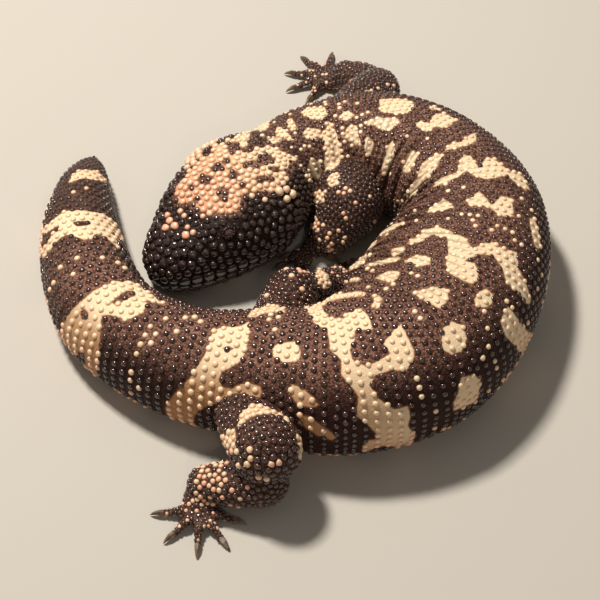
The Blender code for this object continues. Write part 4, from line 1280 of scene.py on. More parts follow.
# %% Depth inside an outline
def depth_in(outline, pixels):
    """Depth of pixels inside a closed outline, below zero outside."""
    outline = np.asarray(outline, float)
    ends = np.roll(outline, -1, axis=0)
    nearest = np.full(len(pixels), 1e9)
    inside = np.zeros(len(pixels), bool)
    for a, b in zip(outline, ends):
        line = b - a
        offset = pixels - a
        t = np.clip(offset @ line / max(line @ line, 1e-9), 0, 1)
        nearest = np.minimum(nearest, np.linalg.norm(offset - t[:, None] * line, axis=1))
        crosses = (a[1] > pixels[:, 1]) != (b[1] > pixels[:, 1])
        with np.errstate(divide="ignore", invalid="ignore"):
            at = (b[0] - a[0]) * (pixels[:, 1] - a[1]) / (b[1] - a[1]) + a[0]
        inside ^= crosses & (pixels[:, 0] < at)
    return np.where(inside, nearest, -nearest)


square = [(0, 0), (10, 0), (10, 10), (0, 10)]
print("the middle of a square of 10 is", depth_in(square, np.array([(5, 5)]))[0], "deep")

# %% The markings that the photograph shows
OUTSIDE = -6.0  # a depth far outside any light area
TURNED_AWAY = -0.28  # hide turned further from the camera than this takes no marks from the photograph
SQUARE_ON = 0.1  # hide turned to it more than this says where along the body an outline lies
PIXEL_ROOM = 16  # an outline gives depths up to this far outside it
CROWN_FROM = 377  # the head's marks land from here on, and its light outlines from the nape on
NAPE_FROM = 368
ALONG_ROOM = {"trunk": 25, "head": 25}  # how far along the body an outline's depths reach beyond it
LIMB_ROOM = 9


def group_of(part, distance):
    """The name of the marked group that each point belongs to."""
    names = np.array(["_".join(name.split("_")[:2]) for name in PARTS])[part]
    return np.where((part == 0) & (distance > CROWN_FROM), "head", names)


def lay_light(depth, group, distance, pixels, facing):
    """Raises depths to what the light outlines give, each on one stretch of its own part."""
    for name, outlines in LIGHT.items():
        own = group == name
        if name == "head":
            own = own | ((group == "trunk") & (distance > NAPE_FROM))
        for outline in outlines.values():
            corners = np.array(outline)
            low, high = corners.min(axis=0) - PIXEL_ROOM, corners.max(axis=0) + PIXEL_ROOM
            near = np.flatnonzero(own & (pixels > low).all(axis=1) & (pixels < high).all(axis=1))
            near = near[facing[near] > TURNED_AWAY]
            found = depth_in(outline, pixels[near]) * MM_PER_PX
            hit = near[(found > 0) & (facing[near] > SQUARE_ON)]
            if not len(hit):
                continue
            low_at, high_at = np.percentile(distance[hit], [2, 98])
            reach = ALONG_ROOM.get(name, LIMB_ROOM)
            there = (distance[near] > low_at - reach) & (distance[near] < high_at + reach)
            depth[near[there]] = np.maximum(depth[near[there]], found[there])


def lay_dark(depth, group, pixels, facing):
    """Lowers depths inside the dark outlines and the dark ovals of the crown."""
    for name, outlines in DARK.items():
        near = np.flatnonzero((group == name) & (facing > TURNED_AWAY))
        for outline in outlines.values():
            depth[near] = np.minimum(depth[near], -depth_in(outline, pixels[near]) * MM_PER_PX)
    near = np.flatnonzero((group == "head") & (facing > TURNED_AWAY))
    for across, down, wide, high in CROWN_SPOTS:
        reach = np.hypot((pixels[near, 0] - across) / wide, (pixels[near, 1] - down) / high)
        depth[near] = np.minimum(depth[near], (reach - 1) * min(wide, high) * MM_PER_PX)


print("outlines reach", PIXEL_ROOM * MM_PER_PX, "mm beyond their edge")

# %% The markings out of its sight
WOBBLE = 0.9  # how far the edges of the far blotches stray, in millimetres
TURN_TO_MM = 0.35  # about how many millimetres one degree round the body is
HIDDEN = 0.02


def lay_far(depth, points, part, distance, turn, facing):
    """Depths with the blotches of the far side, their edges made wavy."""
    x, y, z = points.T
    degrees = np.degrees(turn)
    degrees = np.where(degrees < -130, degrees + 360, degrees)
    wobble = np.sin(x * 0.9 + z * 1.3) + np.sin(y * 1.1 - z * 0.8)
    ripple = WOBBLE * np.sin(x * 0.37 - y * 0.29) * np.sin(z * 0.5 + turn * 5)
    hidden = (part == 0) & (facing < HIDDEN)
    for at, round_at, long, wide in FAR_LIGHT:
        gap = np.minimum(np.abs(degrees - round_at), 360 - np.abs(degrees - round_at))
        reach = np.hypot((distance - at) / long, gap / wide)
        found = (1 - reach) * min(long, wide * TURN_TO_MM) + wobble * WOBBLE + ripple
        depth = np.where(hidden, np.maximum(depth, found), depth)
    return depth


def light_depth(points, normals, part, distance, turn):
    """Depth inside the light markings, in millimetres, for points of the hide."""
    pixels = pixel_of(points)
    facing = facing_view(points, normals)
    group = group_of(part, distance)
    depth = np.full(len(points), OUTSIDE)
    lay_light(depth, group, distance, pixels, facing)
    lay_dark(depth, group, pixels, facing)
    return lay_far(depth, points, part, distance, turn, facing)


part, distance, turn, rise, nearness = place_of(place)
skin_normals = mesh_normals(skin.data)
skin_depth = light_depth(place, skin_normals, part, distance, turn)
site_depth = light_depth(sites, site_normals, site_part, site_distance, site_turn)
site_light = site_depth > 0
print("in the light areas:", int((skin_depth > 0).sum()), "points and", int(site_light.sum()), "scales")

# %% Single light beads
SEEN = 0.05  # a scale that faces the camera less than this isn't seen
DOT_REACH = 5  # pixels from a bead's mark to the nearest scale, at most
BEADED_SHARE = 0.6
# Share of light beads out of sight.
STRAY = {
    "trunk": 0.045, "head": 0, "fore_left": 0.08, "fore_right": 0.2, "hind_left": 0.12, "hind_right": 0.1,
}
NECK_FROM = 338
NECK_STRAY = 0.17
FOOT_STRAY = 0.13

site_pixels = pixel_of(sites)
site_facing = facing_view(sites, site_normals)
site_group = group_of(site_part, site_distance)
for name, dots in DOTS.items():
    own = np.flatnonzero((site_group == name) & (site_facing > SEEN))
    for dot in dots:
        away = np.linalg.norm(site_pixels[own] - dot, axis=1)
        if len(own) and away.min() < DOT_REACH:
            site_light[own[np.argmin(away)]] = True

for name, outline in BEADED.items():
    own = (site_group == name) & (site_facing > SEEN)
    site_light |= own & (depth_in(outline, site_pixels) > 0) & (random.random(len(sites)) < BEADED_SHARE)

unseen = site_facing < SEEN
chance = np.array([STRAY[name] for name in site_group])
site_light |= unseen & (random.random(len(sites)) < chance)
on_neck = (site_group == "trunk") & (site_distance > NECK_FROM)
site_light |= on_neck & (random.random(len(sites)) < NECK_STRAY)
on_foot = np.array(["toe" in PARTS[number] or "foot" in PARTS[number] for number in site_part])
site_light |= on_foot & (random.random(len(sites)) < FOOT_STRAY)
print("light scales", int(site_light.sum()), "of", len(sites))

# %% [markdown]
# ## The scales
# A bead is a low dome on a round foot, and where beads crowd, as on the head, they press each other into
# polygons. Both come from one rule: the outline of a scale is a circle, cut back to halfway to each
# neighbour. The scales are solid mesh, some thousands of domes joined in a few pieces, because bump can't
# break the outline of the body or cast the small shadows that make the hide look beaded.

# %% Sizes on the trunk
# Width as a share of the spacing, height as a share of the radius, and 0 for a dome to 1 for a flat plate.
BEAD = (0.64, 0.7, 0.0)
BELLY_PLATE = (1.05, 0.22, 0.9)
SMALL_SCALE = (0.95, 0.66, 0.1)
FACE_BEAD = (0.95, 0.92, 0.0)
SNOUT_PLATE = (1.08, 0.52, 0.35)
LIP_PLATE = (1.25, 0.36, 0.6)
FRONT = (250, 350)  # the beads grow wider between these
FLANK_ALONG = (205, 235, 352, 335)  # the folded flank: start, full from, end, full to
FLANK_ROUND = (112, 78, -80, -50)

count = len(sites)
fill, tall, plate = (np.full(count, share) for share in BEAD)


def shaped(where, shape):
    """Gives the scales of one place their width, height and flatness."""
    fill[where], tall[where], plate[where] = shape


def between(value, start, full, end, full_to):
    """0 outside start and end, 1 from full to full_to, with smooth slopes."""
    return ease(value, start, full) * ease(value, end, full_to)


group_trunk = site_group == "trunk"
fill += 0.1 * (ease(site_distance, *FRONT) * group_trunk)
site_degrees = np.degrees(site_turn)
pleated = group_trunk * between(site_distance, *FLANK_ALONG) * between(site_degrees, *FLANK_ROUND)
smooth_light = pleated * site_light
fill -= 0.1 * smooth_light + 0.12 * pleated * ~site_light
tall -= 0.42 * smooth_light + 0.15 * pleated * ~site_light
shaped((site_part == 0) & (site_normals[:, 2] < BELLY_DOWN), BELLY_PLATE)
print(int((pleated > 0.5).sum()), "scales on the folded flank")

# %% Sizes on the head and the limbs
PLATES_FROM = 376
JAW_DOWN = -0.1
LID_REGION = 5.2  # from the middle of the eye
LIP_GAP = 4.4
LID_GAP = 1.05
UNEVEN = 0.1
FLOOR_GAP = 0.12
LOWEST = 0.25

on_head_site = (site_part == 0) & (site_distance > PLATES_FROM)
crown = on_head_site * ease(site_depth, -1.8, -1.2)
shaped(on_head_site, SMALL_SCALE)
shaped(on_head_site & (np.sin(site_turn) < FACE_SIDE), FACE_BEAD)
shaped(on_head_site & (site_distance > SNOUT_FROM), SNOUT_PLATE)
fill += 0.13 * crown * site_light - 0.2 * crown * ~site_light
tall -= 0.06 * crown * site_light
jaw_side = on_head_site & (site_normals[:, 2] < JAW_DOWN)
tall[jaw_side], plate[jaw_side] = 0.35, 0.5
limb_site = site_part > 0
shaped(limb_site, SMALL_SCALE)
tall[on_foot] = 0.45
lip_site = np.zeros(count, bool)
lip_site[: len(lid_places) + len(lip_places)] = fixed[: len(lid_places) + len(lip_places)]
near_eye = np.zeros(count, bool)
for point, outward, ahead, around in eyes.values():
    near_eye |= np.linalg.norm(sites - point, axis=1) < LID_REGION
lid_site = lip_site & near_eye
lip_site &= ~near_eye
shaped(lip_site, LIP_PLATE)
gap = site_gap.copy()
gap[lip_site] = LIP_GAP
gap[lid_site] = LID_GAP
fill[lid_site], tall[lid_site] = 0.9, 0.5
width = gap * fill / 2 * (1 + random.uniform(-UNEVEN, UNEVEN, count) * (1 + on_head_site))
lowest = np.minimum(width * tall, np.maximum(sites[:, 2] - FLOOR_GAP, LOWEST))
heights = np.where(site_normals[:, 2] < -0.5, lowest, width * tall)
heights = heights * (1 + random.uniform(-UNEVEN, UNEVEN, count))
print(int(lip_site.sum()), "lip plates,", int(lid_site.sum()), "lid scales")

# %% Which way each scale points
spine_ahead = spine_frame(np.where(site_part == 0, site_distance, 0))[1]
ahead = np.column_stack([spine_ahead, np.zeros(count)])
for number, rows in enumerate(limb_rows.values(), start=1):
    line = np.array(rows, float)[:, :3]
    ahead[site_part == number] = line[-1] - line[0]
ahead -= (ahead * site_normals).sum(axis=1)[:, None] * site_normals
ahead /= np.maximum(np.linalg.norm(ahead, axis=1), 1e-6)[:, None]
around = np.cross(site_normals, ahead)
print("scales point up by", round(float(np.abs(ahead[:, 2]).mean()), 2), "on average")

# %% Cut back to halfway to each neighbour
SCALE_SIDES = 10
NEIGHBOURS = 12
GROOVE = 0.93  # of the way to the middle between two scales
SIDEWAYS = 0.15  # a neighbour cuts only the sides that face it more than this
ROUNDNESS = 7  # how sharply the circle gives way to the cuts

tree = tree_of(sites)
others = np.array([[found[1] for found in tree.find_n(spot, NEIGHBOURS + 1)[1:]] for spot in sites])
offset = sites[others] - sites[:, None, :]
flat_x = (offset * ahead[:, None, :]).sum(axis=2)
flat_y = (offset * around[:, None, :]).sum(axis=2)
away = np.maximum(np.linalg.norm(offset, axis=2), 0.2)
share = gap[:, None] / (gap[:, None] + gap[others])
bearing = np.arctan2(flat_y, flat_x)
spin = full_turn(SCALE_SIDES)
toward = np.cos(spin[None, None, :] - bearing[:, :, None])
halfway = (away * share * GROOVE)[:, :, None]
limit = np.where(toward > SIDEWAYS, halfway / np.maximum(toward, SIDEWAYS), FAR_AWAY).min(axis=1)
reach = (width[:, None] ** -ROUNDNESS + limit**-ROUNDNESS) ** (-1 / ROUNDNESS)
heights = np.minimum(heights, reach.mean(axis=1) * 0.95)
widths = 2 * reach.mean(axis=1)
print("scales from", widths.min().round(2), "to", widths.max().round(2), "mm wide")

# %% [markdown]
# ## An unwrap of the hide
# Each scale carries a small square of a map, laid where the scale's foot stands on a flattened hide, so that
# a painted copy of the model keeps the colour of every scale. The trunk unrolls into a long strip, distance
# along it one way and turn the other. Every tube of a limb has a small strip of its own below that.

# %% Places on the flattened hide
UV_PATCH = 0.0015  # half the width of one scale's square
LIMB_COLUMNS = 8
TRUNK_STRIP = (0.02, 0.52, 0.96, 0.46)  # left, bottom, width, height
LIMB_CELL = (0.115, 0.105)
LIMB_MARGIN = 0.02
CELL_START, CELL_PART = 0.08, 0.84  # the part of its cell that a limb's strip fills


def unwrapped(part, distance, turn):
    """Each point's place on the flattened hide, from 0 to 1 both ways."""
    around_it = np.mod(turn + math.pi / 2, 2 * math.pi) / (2 * math.pi)
    left, bottom, wide, high = TRUNK_STRIP
    u = left + wide * distance / LENGTH
    v = bottom + high * around_it
    cell = np.maximum(part - 1, 0)
    limb_u = LIMB_MARGIN + (cell % LIMB_COLUMNS + CELL_START + CELL_PART * distance) * LIMB_CELL[0] * 1.04
    limb_v = LIMB_MARGIN + (cell // LIMB_COLUMNS + CELL_START + CELL_PART * around_it) * LIMB_CELL[1]
    return np.column_stack([np.where(part == 0, u, limb_u), np.where(part == 0, v, limb_v)])


site_uv = unwrapped(site_part, site_distance, site_turn)
print("map from", site_uv.min(axis=0).round(3), "to", site_uv.max(axis=0).round(3))

# %% [markdown]
# ## Joined scale meshes
# Making eight thousand objects would choke Blender, and instances would be lost when the model is exported.
# So the points of all the domes are worked out together as arrays and written into a few meshes, one for each
# region, with the numbers that the finish needs stored on the points: light, warmth, tone, blackness and
# rise. The warmth also carries a painted warm bounce light low down on the body, and the blackness a painted
# shade low on the trunk.

# %% Numbers for the finish
WARM_HEAD = 0.75
FORELEG_BLACK = 0.4
# how much painted shade the beads low on the trunk take
LOW_SHADE_BLACK = 0.8

head_warm = 0.1 + WARM_HEAD * ease(site_distance, 384, 420)
site_warm = 0.12 + 0.1 * random.random(count)
site_warm += on_head_site * head_warm * random.uniform(0.6, 1.1, count)
site_warm += limb_site * random.uniform(0.0, 0.85, count) * np.where(site_depth > 0, 0.2, 1)
# painted warm bounce light: scales low down on the body turn warmer
bounce_low = ease(sites[:, 2], 30, 8)
site_warm += bounce_low * 0.6 * (site_part == 0)
site_warm = np.clip(site_warm, 0, 1)
site_tone = random.random(count)
site_black_and_shade = np.maximum(on_head_site * (1 - crown), (site_group == "fore_left") * FORELEG_BLACK)
# painted shade: beads low on the trunk take the black scale colour
site_black_and_shade = np.maximum(site_black_and_shade, group_trunk * ease(sites[:, 2], 34, 14) * LOW_SHADE_BLACK)
print("peach share of the scales:", round(float(site_warm.mean()), 2))

# %% Building the domes
SCALE_ROOT = 0.3  # depth of its foot under the skin
DOME = [(1.0, -1.0), (1.0, 0.05), (0.9, 0.46), (0.68, 0.8), (0.36, 0.96), (0.0, 1.0)]  # radius, height
PLATE = [(1.0, -1.0), (1.0, 0.25), (0.94, 0.72), (0.74, 0.93), (0.4, 0.99), (0.0, 1.0)]


def add_numbers(mesh, **numbers):
    """Stores one number for each point of a mesh under each name."""
    for name, values in numbers.items():
        layer = mesh.attributes.new(name, "FLOAT", "POINT")
        layer.data.foreach_set("value", np.ascontiguousarray(values, dtype=np.float32))


def scale_mesh(name, chosen):
    """One mesh of all the chosen scales."""
    n, sides, rings = len(chosen), SCALE_SIDES, len(DOME) - 1
    blend = plate[chosen][:, None]
    radii = (1 - blend) * np.array(DOME)[:, 0] + blend * np.array(PLATE)[:, 0]
    rises = (1 - blend) * np.array(DOME)[:, 1] + blend * np.array(PLATE)[:, 1]
    tops = np.where(rises < 0, -SCALE_ROOT, rises * heights[chosen][:, None])
    flat = reach[chosen][:, None, :] * radii[:, :rings, None]
    x, y = flat * np.cos(spin), flat * np.sin(spin)
    body = (
        sites[chosen][:, None, None, :]
        + x[..., None] * ahead[chosen][:, None, None, :]
        + y[..., None] * around[chosen][:, None, None, :]
        + tops[:, :rings, None, None] * site_normals[chosen][:, None, None, :]
    ).reshape(n, rings * sides, 3)
    peak = sites[chosen] + site_normals[chosen] * tops[:, -1:]
    points = np.concatenate([body, peak[:, None, :]], axis=1)
    points[..., 2] = np.maximum(points[..., 2], 0.02)
    per = rings * sides + 1
    quads = []
    for ring in range(rings - 1):
        for j in range(sides):
            k = (j + 1) % sides
            inner, outer = (ring + 1) * sides, ring * sides
            quads.append((outer + j, outer + k, inner + k, inner + j))
    last = (rings - 1) * sides
    caps = [(last + j, last + (j + 1) % sides, per - 1) for j in range(sides)]
    starts = np.arange(n)[:, None] * per
    quad_corners = (np.array(quads)[None] + starts[:, :, None]).reshape(n, -1)
    cap_corners = (np.array(caps)[None] + starts[:, :, None]).reshape(n, -1)
    corners = np.concatenate([quad_corners, cap_corners], axis=1).ravel()
    sizes = np.tile(np.r_[np.full(len(quads), 4), np.full(len(caps), 3)], n)
    mesh = bpy.data.meshes.new(name)
    mesh.vertices.add(n * per)
    mesh.vertices.foreach_set("co", ((points.reshape(-1, 3) + MOVE) * MM).ravel())
    mesh.loops.add(len(corners))
    mesh.loops.foreach_set("vertex_index", corners)
    mesh.polygons.add(len(sizes))
    mesh.polygons.foreach_set("loop_start", np.r_[0, np.cumsum(sizes)[:-1]])
    mesh.update(calc_edges=True)
    mesh.shade_smooth()

    risen = np.maximum(np.clip(rises[:, :rings], 0, 1), smooth_light[chosen][:, None])
    rise = np.concatenate([np.repeat(risen, sides, axis=1), np.ones((n, 1))], axis=1)
    numbers = {"light": site_light, "warm": site_warm, "tone": site_tone, "black": site_black_and_shade}
    add_numbers(mesh, **{label: np.repeat(values[chosen], per) for label, values in numbers.items()})
    add_numbers(mesh, rise=rise.ravel())
    square = [(radii[:, :rings, None] * way(spin)).reshape(n, -1) for way in (np.cos, np.sin)]
    square = np.stack([np.column_stack([side, np.zeros(n)]) for side in square], axis=2)
    patch = square * UV_PATCH + site_uv[chosen][:, None, :]
    layer = mesh.uv_layers.new(name="OFBake")
    layer.uv.foreach_set("vector", patch.reshape(-1, 2)[corners].ravel().astype(np.float32))
    return linked(name, mesh)


print("a dome has", len(DOME) - 1, "rings of", SCALE_SIDES)

# %% One mesh for each region
REGION_ENDS = (130, 215, 300)  # of the tail, the rear and the flank

stretch = np.searchsorted(REGION_ENDS, site_distance, side="right")
beaded_trunk = (site_part == 0) & ~on_head_site
regions = {
    "tail_beads": beaded_trunk & (stretch == 0),
    "rear_beads": beaded_trunk & (stretch == 1),
    "flank_beads": beaded_trunk & (stretch == 2),
    "shoulder_beads": beaded_trunk & (stretch == 3),
    "head_plates": on_head_site,
    "foreleg_scales": np.char.startswith(site_group.astype(str), "fore"),
    "hind_leg_scales": np.char.startswith(site_group.astype(str), "hind"),
}
scale_pieces = {}
for name, chosen in regions.items():
    scale_pieces[name] = scale_mesh(name, np.flatnonzero(chosen))
    faces_made = sum(len(p.vertices) - 2 for p in scale_pieces[name].data.polygons)
    print(name, int(chosen.sum()), "scales", faces_made, "triangles")

# %% [markdown]
# ## Shader maths that reads as maths
# A finish is a small program of nodes. Wiring them by name hides what they compute. The class below holds one
# socket and gives it the signs of arithmetic, so that a mask can be written as an expression, and it has one
# method that adds any other node with its settings and inputs.

# %% A socket that does arithmetic
class Paint:
    """A value, colour or vector in a material."""

    def __init__(self, socket):
        self.socket = socket

    def node(self, kind, settings=None, output=0, **inputs):
        """Any other node, in the same material."""
        return add_node(self.socket.id_data, kind, settings, output, **inputs)

    def maths(self, operation, *values):
        """A Math node with this operation on one or two values."""
        made = self.socket.id_data.nodes.new("ShaderNodeMath")
        made.operation = operation
        for socket, value in zip(made.inputs, values):
            plug(socket, value)
        return Paint(made.outputs[0])

    def __add__(self, other):
        return self.maths("ADD", self, other)

    def __radd__(self, other):
        return self.maths("ADD", other, self)

    def __sub__(self, other):
        return self.maths("SUBTRACT", self, other)

    def __rsub__(self, other):
        return self.maths("SUBTRACT", other, self)

    def __mul__(self, other):
        return self.maths("MULTIPLY", self, other)

    def __rmul__(self, other):
        return self.maths("MULTIPLY", other, self)

    def __pow__(self, other):
        return self.maths("POWER", self, other)

    def ease(self, start, end):
        """0 at start, 1 at end, smooth between."""
        settings = {"interpolation_type": "SMOOTHSTEP"}
        inputs = {"Value": self, "From Min": start, "From Max": end}
        return self.node("ShaderNodeMapRange", settings, **inputs)


def plug(socket, value):
    """Links a Paint to a socket, or sets a plain number or colour on it."""
    if isinstance(value, Paint):
        socket.id_data.links.new(value.socket, socket)
    elif isinstance(value, tuple) and len(value) == 3 and len(socket.default_value) == 4:
        socket.default_value = (*value, 1)
    else:
        socket.default_value = value


def add_node(tree, kind, settings=None, output=0, **inputs):
    """Adds a node, sets its settings first and then its inputs, and gives one of its outputs."""
    made = tree.nodes.new(kind)
    for name, value in (settings or {}).items():
        setattr(made, name, value)
    for name, value in inputs.items():
        plug(made.inputs[name], value)
    return Paint(made.outputs[output])


def blend(factor, first, second):
    """The first colour where factor is 0 and the second where it is 1."""
    made = factor.socket.id_data.nodes.new("ShaderNodeMix")
    made.data_type = "RGBA"
    plug(made.inputs[0], factor)
    plug(made.inputs[6], first)
    plug(made.inputs[7], second)
    return Paint(made.outputs[2])


def finish_on(name):
    """A new material, its tree and its shader."""
    material = bpy.data.materials.new(name)
    material.use_nodes = True
    return material, material.node_tree, material.node_tree.nodes["Principled BSDF"]


def number(tree, name):
    """A number stored on the points of the mesh."""
    return add_node(tree, "ShaderNodeAttribute", {"attribute_name": name}, "Fac")


def grain(tree, scale, detail=3.0, roughness=0.55):
    """Noise in the object's own space, its scale in lumps per metre."""
    position = add_node(tree, "ShaderNodeTexCoord", None, "Object")
    inputs = {"Vector": position, "Scale": scale, "Detail": detail, "Roughness": roughness}
    return add_node(tree, "ShaderNodeTexNoise", None, 0, **inputs)


def cells(tree, scale):
    """Distance to the middle of the nearest cell, in the object's own space."""
    position = add_node(tree, "ShaderNodeTexCoord", None, "Object")
    return add_node(tree, "ShaderNodeTexVoronoi", {"feature": "F1"}, 0, Vector=position, Scale=scale)


def bump(tree, height, distance, strength=1.0):
    """A Bump node, its distance in metres."""
    return add_node(tree, "ShaderNodeBump", None, 0, Height=height, Distance=distance, Strength=strength)


# %% [markdown]
# ## The hide between the beads
# Bare hide is leathery and made of grains under a millimetre across, dull purple-brown where it is dark and
# cream in the blotches, with a rusty line where the two meet. The grains are too small to model, so a bump
# from cells makes them, and painted shade darkens the gaps between them. The blotches come from the depth
# stored on the points. Painted shade also darkens the creases, the troughs of the pleats and the low outer
# side, where the cream turns a shaded orange on the tail and hips. A painted warm bounce light tints the low
# hide.

# %% Hide
DARK_HIDE = (0.20, 0.088, 0.060)
DARK_HIDE_PALE = (0.35, 0.18, 0.125)
# painted shade for the dark hide of the low outer side
LOW_SHADE_HIDE = (0.024, 0.008, 0.006)
HEAD_HIDE = (0.018, 0.008, 0.006)
CREAM_HIDE = (0.83, 0.66, 0.44)
PEACH_HIDE = (0.60, 0.32, 0.18)
# painted warm shade for the cream of the low outer side
LOW_SHADE_CREAM = (0.37, 0.17, 0.065)
RUST = (0.22, 0.075, 0.028)
# painted shade for the creases, the troughs of the pleats and the gaps between grains
CREASE_SHADE_HIDE = (0.030, 0.011, 0.006)
PLEATS = 1.9  # radians of ripple for each millimetre along the body

hide, tree_, shader = finish_on("hide")
depth = number(tree_, "depth")
warm = number(tree_, "warm")
black = number(tree_, "black")
crease = number(tree_, "crease")
low = number(tree_, "low")
ragged = (grain(tree_, 900) - 0.5) * 0.9
edge = depth + ragged
light = edge.ease(-0.1, 0.12)
patchy = grain(tree_, 160)
granule = cells(tree_, 1250)
dark_colour = blend(patchy.ease(0.3, 0.75), DARK_HIDE, DARK_HIDE_PALE)
# painted shade in the gaps between the grains of the dark hide
dark_colour = blend(granule.ease(0.3, 0.7) * 0.85, dark_colour, CREASE_SHADE_HIDE)
# painted shade on the low outer side of the body
dark_colour = blend(low * 0.95, dark_colour, LOW_SHADE_HIDE)
dark_colour = blend(black, dark_colour, HEAD_HIDE)
light_colour = blend(warm, CREAM_HIDE, PEACH_HIDE)
# painted warm shade: the low cream of the tail and hips turns a dark orange
light_colour = blend(number(tree_, "ochre") * 0.95, light_colour, LOW_SHADE_CREAM)
# painted shade in the gaps between the grains of the cream hide, in peach
light_colour = blend(granule.ease(0.35, 0.85) * 0.22, light_colour, PEACH_HIDE)
colour = blend(light, dark_colour, light_colour)
border = edge.ease(-0.65, -0.1) * (1 - edge.ease(0.05, 0.5)) * (1 - black)
colour = blend(border * 0.6, colour, RUST)
pleats = number(tree_, "pleats")
across_folds = number(tree_, "way") * PLEATS + (grain(tree_, 120) - 0.5) * 7
ripple = across_folds.maths("SINE", across_folds)
# painted shade in the troughs of the pleats
colour = blend(ripple.ease(-0.35, -1.0) * pleats * 0.5, colour, CREASE_SHADE_HIDE)
# painted shade in the creases
colour = blend(crease * 0.85, colour, CREASE_SHADE_HIDE)
plug(shader.inputs["Base Color"], colour)
plug(shader.inputs["Roughness"], 0.62 - black * 0.2 + patchy * 0.08)
shader.inputs["Specular IOR Level"].default_value = 0.15
height = ((1 - granule) ** 2.0 + grain(tree_, 500) * 0.4) * (1 - light * 0.65) + ripple * pleats * 0.9
plug(shader.inputs["Normal"], bump(tree_, height, 0.0003, 1.0))
skin.data.materials.clear()
skin.data.materials.append(hide)
skin.data.shade_smooth()
print("hide:", len(tree_.nodes), "nodes")

# %% Numbers on the hide
LOW_FROM = (50, 110)  # painted shade darkens the outer flank from about here on along the spine
LOW_TURN = (110, 152)  # and from here on round the body, in degrees
LOW_UNDER = -30
TAIL_BLACK = (80, 45)  # the tail's end is nearly black from here to the tip
WARM_SHADE_UP_TO = (205, 170)  # painted warm shade turns the cream of the low side orange on the tail and the hips alone
PLEATS_ALONG = (185, 225, 352, 335)
PLEATS_ROUND = (115, 75, -80, -50)

on_skin_head = (part == 0) & (distance > PLATES_FROM)
low_face = ease(np.sin(turn), 0.9, 0.72)
skin_black = on_skin_head * np.maximum(low_face, ease(skin_depth, -1.4, -2.2) * ease(distance, 378, 386))
skin_black = np.maximum(skin_black, (part > 0) * 0.55)
skin_black = np.maximum(skin_black, (part == 0) * ease(distance, *TAIL_BLACK) * 0.6)
skin_warm = 0.1 + on_skin_head * 0.9 * ease(distance, 380, 400) + (part > 0) * 0.15
# how dark the painted shade in each crease is
crease_shade = np.clip(press * 0.75 - 0.15, 0, 1)
skin_light = np.where(on_skin_head & (skin_black > 0.5), np.minimum(skin_depth, -1), skin_depth)
degrees = np.degrees(turn)
skin_pleats = (part == 0) * between(distance, *PLEATS_ALONG) * between(degrees, *PLEATS_ROUND)
way = np.where(part == 0, distance, 0)
# painted warm bounce light: the hide low down on the body turns warmer
skin_warm += 0.35 * ease(place[:, 2], 20, 5) * (part == 0)
skin_warm = np.clip(skin_warm, 0, 1)
add_numbers(skin.data, depth=skin_light, warm=skin_warm, black=skin_black, crease=crease_shade)
# where painted shade darkens the hide: the low outer side and under the belly
shaded_outer_side = np.maximum(ease(degrees, *LOW_TURN), degrees < LOW_UNDER)
skin_low_shade = (part == 0) * ease(distance, *LOW_FROM) * shaded_outer_side
skin_ochre = skin_low_shade * ease(distance, *WARM_SHADE_UP_TO)
add_numbers(skin.data, pleats=skin_pleats, way=way, low=skin_low_shade, ochre=skin_ochre)
print("hide: light", round(float((skin_light > 0).mean()), 2), "of its points")

# %% [markdown]
# ## The finish of the scales
# The dark beads are nearly black and polished, so each shows a small bright point. The light ones are cream
# to peach and a little duller, and their foot is darker than their crown, partly from painted shade where the
# dome meets the hide and partly from dirt and skin that creep up there. One finish serves both, and the
# number stored on each scale says which it is.

# %% Scales
DARK_SCALE = (0.030, 0.012, 0.008)
DARK_SCALE_RED = (0.080, 0.032, 0.022)
BLACK_SCALE = (0.033, 0.017, 0.013)
CREAM_SCALE = (0.86, 0.70, 0.48)
CREAM_SCALE_DEEP = (0.76, 0.54, 0.31)
PEACH_SCALE = (0.80, 0.40, 0.25)
SCALE_FOOT_DIRT_AND_SHADE = (0.42, 0.20, 0.09)

scale_finish, tree_, shader = finish_on("scales")
light = number(tree_, "light").ease(0.4, 0.6)
warm = number(tree_, "warm")
tone = number(tree_, "tone")
rise_up = number(tree_, "rise")
stain = grain(tree_, 700)
black = number(tree_, "black")
# black also carries painted shade on the beads low on the trunk
dark_colour = blend(black, blend(tone, DARK_SCALE, DARK_SCALE_RED), BLACK_SCALE)
cream = blend(tone * 0.8, CREAM_SCALE, CREAM_SCALE_DEEP)
cream = blend(warm, cream, PEACH_SCALE)
# darker foot of the light beads: painted shade where the dome meets the hide, with dirt, and a few random
# stains
dirt_and_foot_shade = (1 - rise_up.ease(0.0, 0.75)) * (0.25 + warm * 0.4) + stain.ease(0.55, 0.8) * 0.12
cream = blend(dirt_and_foot_shade, cream, SCALE_FOOT_DIRT_AND_SHADE)
plug(shader.inputs["Base Color"], blend(light, dark_colour, cream))
plug(shader.inputs["Roughness"], 0.14 + light * 0.25 + stain * 0.14 - black * 0.12)
shader.inputs["Specular IOR Level"].default_value = 0.9
plug(shader.inputs["Normal"], bump(tree_, stain + grain(tree_, 2600) * 0.3, 0.00006, 0.6))
for piece in scale_pieces.values():
    piece.data.materials.append(scale_finish)
print("scales:", len(tree_.nodes), "nodes")

# %% [markdown]
# ## Eyes and claws
# The eyeballs and the claws keep their solids, since their shape is right. A gila monster's eye is small, wet
# and almost black, with a dull reddish iris; here the iris is painted paler and pinker than that, as a
# painted glint. The claws are horn: brown, translucent-looking at the tip and streaked along their length.

# %% Eyes and claws
PUPIL = (0.004, 0.003, 0.003)
# a reddish iris, painted paler and pinker as a painted glint
IRIS_AND_GLINT = (0.36, 0.16, 0.165)
HORN = (0.16, 0.095, 0.055)
HORN_PALE = (0.42, 0.31, 0.2)
HORN_DARK = (0.05, 0.028, 0.018)

